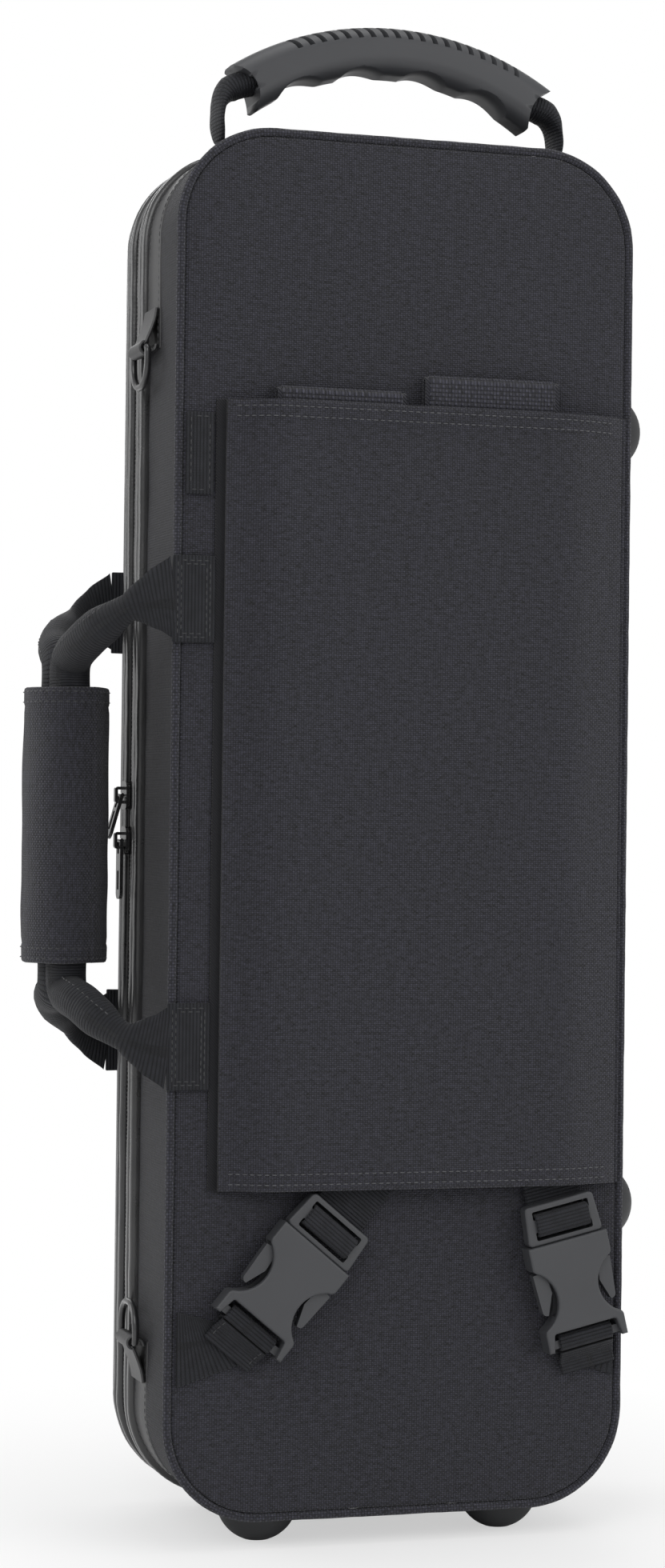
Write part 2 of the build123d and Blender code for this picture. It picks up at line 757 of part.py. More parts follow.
def ring_tab(z, turn):
    """Leatherette tab that is sewn to the wall and loops round the ring's bar."""
    bar_x = -half_w - ring_out
    loop_r = ring_wire_r + ring_tab_clear + ring_tab_t
    wall_x = -half_w - band_t
    plane = Plane(origin=(0, ring_y, 0), x_dir=(1, 0, 0), z_dir=(0, -1, 0))
    end_z = z - turn * ring_tab_l
    outer = Polyline((wall_x, z + turn * loop_r / 2), (bar_x, z + turn * loop_r), (bar_x - loop_r, z),
                     (wall_x - 2 * ring_tab_t, end_z), (wall_x, end_z), (wall_x, z + turn * loop_r / 2))
    shape = make_face(outer) + Pos(bar_x, z) * Circle(loop_r)
    shape -= Pos(bar_x, z) * Circle(ring_wire_r + ring_tab_clear)
    return extrude(plane * shape, amount=ring_tab_w / 2, both=True)


def d_ring(z, turn):
    """Bent wire ring, its bar in the tab, hanging (turn -1) or standing (turn +1)."""
    w = ring_w - 2 * ring_wire_r
    length = ring_l - 2 * ring_wire_r
    middle = (-half_w - ring_out, ring_y, z + turn * length / 2)
    plane = Plane(origin=middle, x_dir=(0, 1, 0), z_dir=(1, 0, 0))
    shape = Rectangle(w, length)
    bow = shape.vertices().filter_by_position(Axis.Y, *sorted((turn * length / 2, turn * length / 4)))
    shape = fillet(bow, min(ring_bow_r, w / 2 * 0.95))
    rest = shape.vertices().filter_by_position(Axis.Y, *sorted((-turn * length / 2, -turn * length / 2.2)))
    shape = fillet(rest, ring_corner_r)
    path = (plane * shape).face().outer_wire()
    return sweep(Plane(origin=path @ 0, z_dir=path % 0) * Circle(ring_wire_r), path=path)


# Sliders and pulls

def coil_top():
    """How far the coil stands outside the line of the walls."""
    return tape_t - cover_t + coil_h


def slider_face():
    """How far the slider's plate stands outside the line of the walls."""
    return lip_proud + slider_clear + slider_t


def slider(z):
    """Zip slider: stem between the lips, plate over them and a bridge for the pull."""
    plate_x = -half_w - slider_face()
    y = (zip_y - slider_w / 2, zip_y + slider_w / 2)
    reach = (z - slider_l / 2, z + slider_l / 2)
    plate = block((plate_x, plate_x + slider_t), y, reach)
    plate = fillet(plate.edges().filter_by(Axis.X), slider_round_r)
    stem = block((plate_x + slider_t, -half_w - coil_top() - slider_clear),
                 (zip_y - slider_stem_w / 2, zip_y + slider_stem_w / 2), reach)
    arch = block((plate_x - bridge_h, plate_x), (zip_y - bridge_w / 2, zip_y + bridge_w / 2),
                 (z - bridge_l / 2, z + bridge_l / 2))
    arch = fillet(arch.edges().filter_by(Axis.Y).sort_by(Axis.X)[:2], bridge_t)
    gap = block((plate_x - bridge_h + bridge_t, plate_x), (zip_y - bridge_w, zip_y + bridge_w),
                (z - bridge_l / 2 + bridge_t, z + bridge_l / 2 - bridge_t))
    return plate + stem + (arch - gap)


def pull_axis_x():
    """X of the pull's bar inside the bridge."""
    return -half_w - slider_face() - (bridge_h - bridge_t) / 2


def pull(z, length, lean):
    """Pull with a cross bar in the bridge, hanging down and leaning outwards."""
    bar = Rot(90, 0, 0) * Cylinder(pull_bar_r, pull_w)
    plate = Pos(0, 0, -length / 2) * Box(pull_t, pull_w, length)
    plate = fillet(plate.edges().filter_by(Axis.X).sort_by(Axis.Z)[:2], pull_w / 2 * 0.8)
    eye = block((-pull_t, pull_t), (-bridge_w / 2 - slider_clear, bridge_w / 2 + slider_clear),
                (-pull_eye_l, pull_eye_l))
    slot = Pos(0, 0, -length + pull_slot_l) * Box(2 * pull_t, pull_slot_w, pull_slot_l)
    body = (plate - eye - slot) + bar
    return Pos(pull_axis_x(), zip_y, z) * Rot(0, lean, 0) * body


# Strap cover and what it holds

def flap_section(y_shift, t):
    """Cross section of the cover: low at both edges, raised over the straps."""
    low = front_y - hook_t - strap_gap - y_shift
    high = front_y - strap_gap - 2 * strap_ply_t - strap_gap - strap_web_t - y_shift
    slope_x = flap_left + flap_slope_left
    points = [(flap_left, low), (slope_x - flap_bend_r, low), (slope_x, high),
              (flap_right - flap_slope_right, high), (flap_right, low + hook_t)]
    inner = FilletPolyline(points, radius=flap_bend_r)
    outer = FilletPolyline([(x, y - t) for x, y in points], radius=flap_bend_r)
    ends = [Line(inner @ 0, outer @ 0), Line(inner @ 1, outer @ 1)]
    return make_face([inner, outer] + ends)


def strap_cover():
    """Cover flap with a folded hem along its upper and lower edges."""
    body = extrude(Plane.XY.offset(flap_low_z) * flap_section(0, flap_t), amount=flap_high_z - flap_low_z)
    for z in (flap_low_z, flap_high_z - hem_w):
        body += extrude(Plane.XY.offset(z) * flap_section(flap_t, hem_t), amount=hem_w)
    return body


def flap_seam():
    """Edge of the cover that is sewn into the side seam."""
    y = front_y - side_web_t
    return block((flap_right + flap_pivot_gap, flap_right + flap_pivot_gap + flap_seam_w), (y, front_y),
                 (flap_low_z, flap_high_z))


def hook_strip():
    """Hook strip on the panel under the cover's free edge."""
    x = hook_in - half_w
    return block((x, x + hook_w), (front_y - hook_t, front_y), (flap_low_z, flap_high_z))


def shoulder_strap(x_range, high_z):
    """Padded strap folded in half, the fold at the top."""
    x0, x1 = x_range
    near = front_y - strap_gap
    thick = 2 * strap_ply_t
    pad = block((x0 + binding_t, x1 - binding_t), (near - thick, near), (strap_low_z, high_z))
    top = pad.edges().filter_by(Axis.X).filter_by_position(Axis.Z, high_z - strap_gap, high_z + strap_gap)
    pad = fillet(top, strap_ply_t * 0.98)
    split = block((x0, x1), (near - strap_ply_t - strap_gap / 2, near - strap_ply_t + strap_gap / 2),
                  (strap_low_z - overrun, high_z - strap_ply_t))
    return pad - split


def strap_binding(x_range, high_z):
    """Binding round both long edges of the front ply."""
    x0, x1 = x_range
    near = front_y - strap_gap
    y = (near - 2 * strap_ply_t - binding_t, near - 2 * strap_ply_t)
    z = (strap_low_z, high_z - strap_ply_t)
    left = block((x0, x0 + binding_w), y, z) + block((x0, x0 + binding_t), (y[0], near - strap_ply_t), z)
    right = block((x1 - binding_w, x1), y, z) + block((x1 - binding_t, x1), (y[0], near - strap_ply_t), z)
    return [left, right]


def strap_ribbon(x_range, high_z):
    """Woven ribbon sewn down the middle of the front ply."""
    mid = (x_range[0] + x_range[1]) / 2
    y = front_y - strap_gap - 2 * strap_ply_t
    z = (strap_low_z, high_z - strap_ply_t)
    return block((mid - web_w / 2, mid + web_w / 2), (y - strap_web_t, y), z)


# Buckles, drawn along +Y from the adjuster end, face towards +Z

def buckle_plane(place):
    """Plane of one buckle in front of the back panel."""
    x, z, heading = place
    y = front_y - buckle_gap
    along = Vector(cos(radians(heading)), 0, sin(radians(heading)))
    across = along.cross(Vector(0, -1, 0))
    return Plane(origin=(x, y, z), x_dir=across, z_dir=(0, -1, 0))


def female_outline():
    """Outline of the receiver: collar, round bites beside the thumb pads, pointed horns."""
    collar = female_w / 2
    t0 = male_frame_l
    t1 = t0 + collar_l
    t2 = t1 + bite_l
    t3 = t0 + female_l
    half = make_face(Polyline((0, t0), (collar, t0), (collar, t3), (collar - horn_tip_w, t3),
                              (collar - horn_w, t3 - horn_l), (0, t3 - horn_l), (0, t0)))
    radius = (bite_l**2 / 4 + bite_depth**2) / (2 * bite_depth)
    half -= Pos(collar - bite_depth + radius, (t1 + t2) / 2) * Circle(radius)
    half = fillet(half.vertices().filter_by_position(Axis.X, collar - slot_corner_r / 2, collar)
                  .filter_by_position(Axis.Y, t1 - slot_corner_r, t2 + slot_corner_r), bite_lip_r)
    root_x, root_y = collar - horn_w, t3 - horn_l
    half = fillet(half.vertices().filter_by_position(Axis.X, root_x - arm_clear, root_x + arm_clear)
                  .filter_by_position(Axis.Y, root_y - arm_clear, root_y + arm_clear), horn_corner_r)
    return half + mirror(half, about=Plane.YZ)


def female():
    """Hollow receiver with open sides, and a bar for the webbing between its horns."""
    t0 = male_frame_l
    t1 = t0 + collar_l
    t2 = t1 + window_l
    body = extrude(female_outline(), amount=female_t)
    body = fillet(body.edges().filter_by_position(Axis.Z, female_t, female_t), part_edge_r)
    cavity_w = female_w - 2 * female_wall
    high = female_t - female_wall
    cavity = block((-cavity_w / 2, cavity_w / 2), (t0 - overrun, t2), (female_wall, high))
    windows = block((-female_w, female_w), (t1, t2), (female_wall, high))
    span = female_w / 2 - horn_tip_w / 2
    bar = block((-span, span), tail_bar(), (tail_bar_rise, tail_bar_rise + tail_bar_t))
    return body - cavity - windows + bar


def tail_bar():
    """Both sides of the bar between the horns."""
    start = male_frame_l + female_l - horn_l + tail_bar_gap
    return start, start + tail_bar_w


def ladder_gap():
    """Width of each of the adjuster's two slots."""
    return (male_frame_l - 2 * end_bar_w - ladder_bar_w) / 2


def ladder_slots():
    """Middles of the adjuster's two slots."""
    first = end_bar_w + ladder_gap() / 2
    return first, first + ladder_gap() + ladder_bar_w


def male_frame():
    """Adjuster frame with two slots, and the guide prong in the receiver."""
    top, low = male_frame_top_w / 2, male_frame_w / 2
    frame = make_face(Polyline((-top, 0), (top, 0), (low, male_frame_l), (-low, male_frame_l), (-top, 0)))
    frame = fillet(frame.vertices(), 2 * part_edge_r)
    body = extrude(frame, amount=male_frame_t)
    body = Pos(0, 0, (female_t - male_frame_t) / 2) * body
    body = fillet(body.edges().filter_by_position(
        Axis.Z, (female_t + male_frame_t) / 2, (female_t + male_frame_t) / 2), part_edge_r)
    for y in ladder_slots():
        body -= extrude(Pos(0, y) * RectangleRounded(slot_l, ladder_gap(), slot_corner_r), amount=female_t)
    low = female_wall + arm_clear
    prong = block((-guide_w / 2, guide_w / 2), (male_frame_l - end_bar_w, male_frame_l + guide_l),
                  (low, female_t - low))
    return body + prong


def arm(side):
    """Sprung arm with the D-shaped thumb pad that shows in the receiver's bite."""
    root_y = male_frame_l + arm_clear
    t1 = male_frame_l + collar_l
    low = female_wall + arm_clear
    out = female_w / 2 - female_wall - arm_clear
    pad_out = female_w / 2 - arm_pad_in
    start, end = t1 + arm_pad_start, t1 + arm_pad_start + arm_pad_l
    half = make_face(Polyline((arm_root_x, root_y), (arm_root_x + arm_w, root_y), (out, t1 - arm_clear),
                              (out, start - arm_clear), (pad_out, start),
                              (pad_out - arm_pad_taper, end), (pad_out - arm_pad_w / 2, end),
                              (pad_out - arm_pad_w, start + arm_pad_l / 2), (out - arm_w, t1),
                              (arm_root_x, root_y)))
    half = fillet(half.vertices().filter_by_position(Axis.Y, end - arm_clear, end + arm_clear)
                  .sort_by(Axis.X)[-1], arm_pad_r)
    shape = half if side > 0 else mirror(half, about=Plane.YZ)
    return Pos(0, 0, low) * extrude(shape, amount=female_t - 2 * low)


def across_web(section):
    """Webbing with a section drawn in a buckle's length and height."""
    plane = Plane(origin=(0, 0, 0), x_dir=(0, 1, 0), z_dir=(1, 0, 0))
    return extrude(plane * section, amount=web_w / 2, both=True)


def tail_web_y():
    """Where the webbing passes before and behind the tail bar."""
    start, end = tail_bar()
    return start - tail_bar_gap / 2, end + arm_clear + web_t / 2


def seam_web(place, points):
    """Webbing from the side seam, flat on the panel, then once round the tail bar."""
    plane = Plane(origin=(0, front_y, 0), x_dir=(1, 0, 0), z_dir=(0, -1, 0))
    flat = extrude(plane * make_face(Polyline(points + [points[0]])), amount=web_t)
    low = -buckle_gap + web_t / 2
    high = tail_bar_rise + tail_bar_t + arm_clear + web_t / 2
    near, far = tail_web_y()
    loop = [RectangleRounded(far - near + turn * web_t, high - low + turn * web_t,
                             web_bend_r + turn * web_t / 2) for turn in (1, -1)]
    section = Pos((near + far) / 2, (low + high) / 2) * (loop[0] - loop[1])
    return flat + buckle_plane(place) * across_web(section)


def lead_web(place):
    """Webbing from under the strap cover, woven through the adjuster."""
    base = (female_t - male_frame_t) / 2
    low = base - arm_clear - web_t / 2
    high = base + male_frame_t + arm_clear + web_t / 2
    first, second = ladder_slots()
    line = FilletPolyline((-web_lead, low), (first, low), (first, high), (second, high), (second, low),
                          radius=web_bend_r)
    return buckle_plane(place) * across_web(trace(line, line_width=web_t))


# Webbing tab and lid pocket

def webbing_tab():
    """Short piece of webbing sewn beside the strap cover."""
    x = tab_in - half_w
    space = flap_high_z - side_high_z - side_web_w / 2
    z = flap_high_z - tab_drop_share * space
    return block((x, x + tab_w), (front_y - tab_t, front_y), (z - tab_l_share * space, z))


def lid_pocket():
    """Padded document pocket on the lid face with a channel for its zip."""
    low_z = foot_h + pocket_rise
    w, h = body_w - 2 * pocket_in, pocket_high_z - low_z
    shape = Pos(0, (pocket_high_z + low_z) / 2 - mid_z) * RectangleRounded(w, h, pocket_r)
    pocket = slab(shape, back_y, back_y + pocket_t)
    pocket = fillet(edges_at_y(pocket, back_y + pocket_t), pocket_edge_r)
    channel = block((-pocket_zip_half, pocket_zip_half), (back_y + pocket_t - pocket_groove_t, 2 * back_y),
                    (pocket_zip_z - pocket_groove_w / 2, pocket_zip_z + pocket_groove_w / 2))
    return pocket - channel


def pocket_zip():
    """Tape and coil of the pocket zip."""
    z = pocket_zip_z
    floor_y = back_y + pocket_t - pocket_groove_t
    half = pocket_zip_half - zip_split
    tape = block((-half, half), (floor_y, floor_y + pocket_tape_t),
                 (z - pocket_groove_w / 2 + zip_split, z + pocket_groove_w / 2 - zip_split))
    coil = block((-half, half), (floor_y + pocket_tape_t, floor_y + pocket_tape_t + pocket_coil_h),
                 (z - pocket_coil_w / 2, z + pocket_coil_w / 2))
    return tape + coil


def pocket_slider_face():
    """Depth of the pocket slider's far face."""
    coil_y = back_y + pocket_t - pocket_groove_t + pocket_tape_t + pocket_coil_h
    return coil_y + slider_clear + pocket_slider_t


def pocket_slider():
    """Plate and bridge of the pocket slider, which runs along X."""
    z = pocket_zip_z
    y1 = pocket_slider_face()
    x = (pocket_slider_x - pocket_slider_l / 2, pocket_slider_x + pocket_slider_l / 2)
    plate = block(x, (y1 - pocket_slider_t, y1), (z - pocket_slider_w / 2, z + pocket_slider_w / 2))
    plate = fillet(plate.edges().filter_by(Axis.Y), slider_round_r / 2)
    mid = (pocket_slider_x - bridge_w / 2, pocket_slider_x + bridge_w / 2)
    arch = block(mid, (y1, y1 + bridge_h), (z - bridge_l / 2, z + bridge_l / 2))
    gap = block(x, (y1, y1 + bridge_h - bridge_t), (z - bridge_l / 2 + bridge_t, z + bridge_l / 2 - bridge_t))
    arch = fillet(arch.edges().filter_by(Axis.X).sort_by(Axis.Y)[-2:], bridge_t)
    return plate + (arch - gap)


def pocket_pull():
    """Pull of the pocket slider, hanging down the lid."""
    y = pocket_slider_face() + (bridge_h - bridge_t) / 2
    hanging = Pos(-pull_axis_x(), -zip_y, 0) * pull(0, pocket_pull_l, 0)
    return Pos(pocket_slider_x, y, pocket_zip_z) * Rot(0, 0, 90) * hanging


def web_points(place, side, rises):
    """Corners of the flat webbing between a buckle's tail and the seam on one side."""
    tail = tail_web_y()[1] - web_t / 2
    seam_x = side * (half_w - panel_inset - web_t)
    lower, upper = (corner(place, turn * side * web_w / 2, tail) for turn in (1, -1))
    return [lower, upper, (seam_x, foot_h + rises[1]), (seam_x, foot_h + rises[0])]


def corner(place, across, along):
    """X and Z of a point given across and along a buckle."""
    point = buckle_plane(place).from_local_coords(Vector(across, along, 0))
    return point.X, point.Z


# Every piece by name

def make_pieces():
    """All pieces of the case, as name and shape."""
    screw = foot_screw()
    tray_tape_y = tray_edge_y + tape_w
    lid_tape_y = lid_edge_y - tape_w
    pieces = {
        "tray_shell": tray_shell(),
        "tray_side_fabric": tray_side_fabric(),
        "back_panel_fabric": panel_fabric(),
        "back_panel_piping": panel_piping(),
        "tray_zip_lip": zip_lip(near_lip_y, tray_edge_y),
        "tray_zip_tape": zip_tape(tray_edge_y, tray_tape_y),
        "tray_zip_coil": zip_coil(tray_tape_y - coil_inset - coil_w, tray_tape_y - coil_inset),
        "tray_hinge_strip": hinge_strip(tray_edge_y - tray_strip_w, tray_tape_y),
        "corner_bands": Compound([corner_band(upper) for upper in (True, False)]),
        "tray_feet": foot_group(foot_body(foot_r, foot_flat_r), tray_foot_y, tray_foot_y),
        "tray_foot_screws": foot_group(screw, tray_foot_y, tray_foot_y),
        "hinge_side_panel": side_panel(),
        "tray_floor_pad": floor_pad(),
        "instrument_cradle": cradle(),
        "lid_shell": lid_shell(),
        "lid_fabric": lid_fabric(),
        "lid_zip_lip": zip_lip(lid_edge_y, far_lip_y),
        "lid_zip_tape": zip_tape(lid_tape_y, lid_edge_y),
        "lid_zip_coil": zip_coil(lid_tape_y + coil_inset, lid_tape_y + coil_inset + coil_w),
        "lid_hinge_strip": hinge_strip(lid_tape_y, lid_edge_y + lid_strip_w),
        "lid_feet": foot_group(foot_body(lid_foot_r, lid_foot_flat_r), lid_foot_y, lid_foot_y),
        "lid_foot_screws": foot_group(screw, lid_foot_y, lid_foot_y),
        "lid_pad": lid_pad(),
        "lid_pocket": lid_pocket(),
        "lid_pocket_zip": pocket_zip(),
        "pocket_slider": pocket_slider(),
        "pocket_pull": pocket_pull(),
        "end_handle_grip": end_grip(),
        "end_handle_straps": Compound([end_strap(side) for side in (-1, 1)]),
        "end_handle_patches": Compound([end_patch(side) for side in (-1, 1)]),
        "webbing_tab": webbing_tab(),
        "strap_cover": strap_cover(),
        "strap_cover_seam": flap_seam(),
        "strap_cover_hook_strip": hook_strip(),
        "slider_upper": slider(slider_high_z),
        "slider_lower": slider(slider_low_z),
        "pull_upper": pull(slider_high_z, pull_short_l, pull_lean),
        "pull_lower": pull(slider_low_z, pull_l, 0),
        "d_ring_tabs": Compound([ring_tab(ring_high_z, -1), ring_tab(ring_low_z, 1)]),
    }
    for name, side in (("tray_handle", -1), ("lid_handle", 1)):
        pieces[name + "_patches"] = Compound([side_patch(side, z) for z in (side_low_z, side_high_z)])
        strap_ends = ((side_high_z, -1), (side_low_z, 1))
        pieces[name + "_straps"] = Compound([side_strap(side, z, turn) for z, turn in strap_ends])
        pieces[name + "_grip"] = side_grip_half(side)
    for name, z, turn in (("upper", ring_high_z, -1), ("lower", ring_low_z, 1)):
        pieces["d_ring_" + name] = d_ring(z, turn)
    straps = [(strap_left_x, strap_left_z), (strap_right_x, strap_right_z)]
    pieces["shoulder_strap_left"] = shoulder_strap(*straps[0])
    pieces["shoulder_strap_right"] = shoulder_strap(*straps[1])
    pieces["strap_bindings"] = Compound([solid for strap in straps for solid in strap_binding(*strap)])
    pieces["strap_ribbons"] = Compound([strap_ribbon(*strap) for strap in straps])
    buckles = {"left": left_buckle, "right": right_buckle}
    seams = {"left": (-1, left_web_rise), "right": (1, right_web_rise)}
    pieces["buckle_receivers"] = Compound([buckle_plane(place) * female() for place in buckles.values()])
    pieces["buckle_frames"] = Compound([buckle_plane(place) * male_frame() for place in buckles.values()])
    pieces["buckle_anchor_webs"] = Compound([seam_web(place, web_points(place, *seams[name]))
                                             for name, place in buckles.items()])
    pieces["strap_adjust_webs"] = Compound([lead_web(place) for place in buckles.values()])
    for name, place in buckles.items():
        pieces["buckle_arm_a_" + name] = buckle_plane(place) * arm(-1)
        pieces["buckle_arm_b_" + name] = buckle_plane(place) * arm(1)
    return pieces


for piece_name, shape in make_pieces().items():
    export_step(shape, "parts/" + piece_name + ".step")
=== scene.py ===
"""Looks of a soft-covered soprano saxophone case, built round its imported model.

Metres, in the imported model's own frame: +Z up, -Y towards the back panel with the
stowed shoulder straps, -X towards the zipped side and its carry handle.
"""
from math import asin, ceil, cos, pi, radians, sin

import bmesh
import bpy
from mathutils import Matrix, Vector, noise
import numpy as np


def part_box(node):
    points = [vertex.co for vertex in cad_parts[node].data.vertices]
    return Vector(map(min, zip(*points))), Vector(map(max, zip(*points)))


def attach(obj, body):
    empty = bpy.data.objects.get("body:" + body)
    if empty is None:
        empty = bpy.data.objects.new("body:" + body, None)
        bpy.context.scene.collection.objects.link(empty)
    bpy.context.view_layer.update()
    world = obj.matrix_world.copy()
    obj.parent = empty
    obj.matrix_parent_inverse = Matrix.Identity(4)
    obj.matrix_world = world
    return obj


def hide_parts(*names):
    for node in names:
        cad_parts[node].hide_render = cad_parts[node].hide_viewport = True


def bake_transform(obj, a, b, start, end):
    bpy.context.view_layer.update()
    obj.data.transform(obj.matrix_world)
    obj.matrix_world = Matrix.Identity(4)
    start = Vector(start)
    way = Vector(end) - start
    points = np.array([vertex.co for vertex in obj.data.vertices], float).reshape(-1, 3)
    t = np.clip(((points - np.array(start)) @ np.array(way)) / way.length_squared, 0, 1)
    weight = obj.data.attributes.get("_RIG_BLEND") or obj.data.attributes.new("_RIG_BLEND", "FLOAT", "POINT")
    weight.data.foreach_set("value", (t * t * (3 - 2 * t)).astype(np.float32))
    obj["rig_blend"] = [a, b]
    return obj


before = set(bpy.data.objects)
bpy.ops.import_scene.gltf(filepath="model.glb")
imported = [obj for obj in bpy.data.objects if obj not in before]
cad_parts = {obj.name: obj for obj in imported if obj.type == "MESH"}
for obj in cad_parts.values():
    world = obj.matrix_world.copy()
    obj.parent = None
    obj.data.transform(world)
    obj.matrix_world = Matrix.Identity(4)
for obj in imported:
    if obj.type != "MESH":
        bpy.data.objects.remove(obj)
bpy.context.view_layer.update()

bl_info = {
    "name": "Instrument case dresser",
    "version": (1, 0, 0),
    "blender": (4, 5, 0),
    "location": "3D View > Sidebar > Case",
    "description": "Dresses a zipped instrument case in fabric, webbing, leatherette and moulded plastic",
    "category": "Object",
}

MM = 0.001

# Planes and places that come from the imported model
WALL_LOW, WALL_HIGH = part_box("tray_side_fabric")
HALF_W = WALL_HIGH.x
LOW_Z, TOP_Z = WALL_LOW.z, WALL_HIGH.z
MID_Z = (LOW_Z + TOP_Z) / 2
HALF_H = (TOP_Z - LOW_Z) / 2
CORNER_R = 47 * MM
FRONT_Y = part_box("back_panel_fabric")[0].y
PANEL_BACK_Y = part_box("back_panel_fabric")[1].y
BACK_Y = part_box("lid_fabric")[1].y
NEAR_LIP = [corner.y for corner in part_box("tray_zip_lip")]
FAR_LIP = [corner.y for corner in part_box("lid_zip_lip")]
ZIP_Y = (NEAR_LIP[1] + FAR_LIP[0]) / 2
ZIP_END_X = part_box("tray_zip_lip")[1].x
LIP_OUT = -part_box("tray_zip_lip")[0].x - HALF_W
WALL_IN = 1.4 * MM        # how far hems reach under the line of the walls

# The photograph's framing
PHOTO_H = 1960
FOCAL_PX = 4124
CAMERA_AT = Vector((-538.3, -1678.1, 372.0)) * MM
CAMERA_RIGHT = Vector((0.9552, -0.2958, 0.0120))
CAMERA_UP = Vector((-0.0146, -0.0064, 0.9999))
SENSOR_MM = 36


# Sizes and colours that a user would change

class CaseCloth(bpy.types.PropertyGroup):
    """Weaves and seams."""
    yarn: bpy.props.FloatProperty(name="Yarn", description="Width of one yarn of the cover fabric",
                                  default=1.3 * MM, unit="LENGTH")
    rib: bpy.props.FloatProperty(name="Rib", description="Pitch of the ribs across the webbing",
                                 default=1.8 * MM, unit="LENGTH")
    stitch: bpy.props.FloatProperty(name="Stitch", description="Length of one stitch",
                                    default=2.6 * MM, unit="LENGTH")
    thread: bpy.props.FloatProperty(name="Thread", description="Radius of the sewing thread",
                                    default=0.32 * MM, unit="LENGTH")


class CaseColours(bpy.types.PropertyGroup):
    """Colours of the finishes."""
    fabric: bpy.props.FloatVectorProperty(name="Fabric", description="Cover fabric", subtype="COLOR",
                                          default=(0.0143, 0.0143, 0.0203))
    webbing: bpy.props.FloatVectorProperty(name="Webbing", description="Ribbed webbing", subtype="COLOR",
                                           default=(0.0105, 0.011, 0.0135))
    leatherette: bpy.props.FloatVectorProperty(name="Leatherette", description="Zip lips and bands",
                                               subtype="COLOR", default=(0.02, 0.02, 0.021))
    moulding: bpy.props.FloatVectorProperty(name="Moulding", description="Buckles and end grip",
                                            subtype="COLOR", default=(0.042, 0.0433, 0.0475))
    plush: bpy.props.FloatVectorProperty(name="Plush", description="Lining inside", subtype="COLOR",
                                         default=(0.03, 0.031, 0.036))
    thread: bpy.props.FloatVectorProperty(name="Thread", description="Sewing thread", subtype="COLOR",
                                          default=(0.055, 0.056, 0.062))


# Materials

def wire(tree, source, socket):
    """Feeds a socket with another socket or with a constant."""
    if isinstance(source, bpy.types.NodeSocket):
        tree.links.new(source, socket)
    else:
        socket.default_value = source


def maths(tree, operation, *values):
    """One Math node, fed in order."""
    node = tree.nodes.new("ShaderNodeMath")
    node.operation = operation
    for value, socket in zip(values, node.inputs):
        wire(tree, value, socket)
    return node.outputs[0]


def finish_base(name, colour, roughness, **settings):
    """A material with its Principled shader, colour and constant sockets."""
    material = bpy.data.materials.new(name)
    material.use_nodes = True
    tree = material.node_tree
    shader = tree.nodes["Principled BSDF"]
    shader.inputs["Base Color"].default_value = (*colour, 1)
    shader.inputs["Roughness"].default_value = roughness
    for key, value in settings.items():
        shader.inputs[key.replace("_", " ").title().replace("Ior", "IOR")].default_value = value
    material.diffuse_color = (*colour, 1)
    return material, tree, shader


def coordinates(tree, along_surface, scale=(1, 1, 1)):
    """The piece's own cloth map, or its object coordinates, scaled."""
    if along_surface:
        source = tree.nodes.new("ShaderNodeUVMap")
        source.uv_map = "cloth"
        place = source.outputs["UV"]
    else:
        place = tree.nodes.new("ShaderNodeTexCoord").outputs["Object"]
    mapping = tree.nodes.new("ShaderNodeMapping")
    mapping.inputs["Scale"].default_value = scale
    tree.links.new(place, mapping.inputs["Vector"])
    return mapping.outputs["Vector"]


def cloudy(tree, place, scale, detail=2.0):
    """Soft noise between 0 and 1."""
    node = tree.nodes.new("ShaderNodeTexNoise")
    node.inputs["Scale"].default_value = scale
    node.inputs["Detail"].default_value = detail
    tree.links.new(place, node.inputs["Vector"])
    return node.outputs["Fac"]


def between(tree, share, low, high):
    """Colour mixed between two shades by a share."""
    node = tree.nodes.new("ShaderNodeMix")
    node.data_type = "RGBA"
    tree.links.new(share, node.inputs["Factor"])
    node.inputs["A"].default_value = (*low, 1)
    node.inputs["B"].default_value = (*high, 1)
    return node.outputs["Result"]


def raise_surface(tree, shader, height, strength, depth):
    """Bump from a height."""
    node = tree.nodes.new("ShaderNodeBump")
    node.inputs["Strength"].default_value = strength
    node.inputs["Distance"].default_value = depth
    tree.links.new(height, node.inputs["Height"])
    tree.links.new(node.outputs["Normal"], shader.inputs["Normal"])


def shade(colour, factor):
    """A colour made lighter or darker."""
    return tuple(min(channel * factor, 1) for channel in colour)


def tint(tree, shader, share, colour, low, high):
    """Base colour between a darker and a lighter shade of one colour."""
    tree.links.new(between(tree, share, shade(colour, low), shade(colour, high)), shader.inputs["Base Color"])


def roughen(tree, shader, signal, reach, low):
    """Roughness that a signal lifts from its lowest value."""
    tree.links.new(maths(tree, "MULTIPLY_ADD", signal, reach, low), shader.inputs["Roughness"])


def map_lengths(tree):
    """Lengths along and across the piece, from its cloth map."""
    split = tree.nodes.new("ShaderNodeSeparateXYZ")
    tree.links.new(coordinates(tree, True), split.inputs[0])
    return split.outputs["X"], split.outputs["Y"]


def wave(tree, length, pitch):
    """Wave from -1 to 1 that crosses zero once in each pitch."""
    return maths(tree, "SINE", maths(tree, "MULTIPLY", length, pi / pitch))


def ridges(tree, length, pitch):
    """Rounded ridges from 0 to 1, one in each pitch."""
    return maths(tree, "ABSOLUTE", wave(tree, length, pitch))


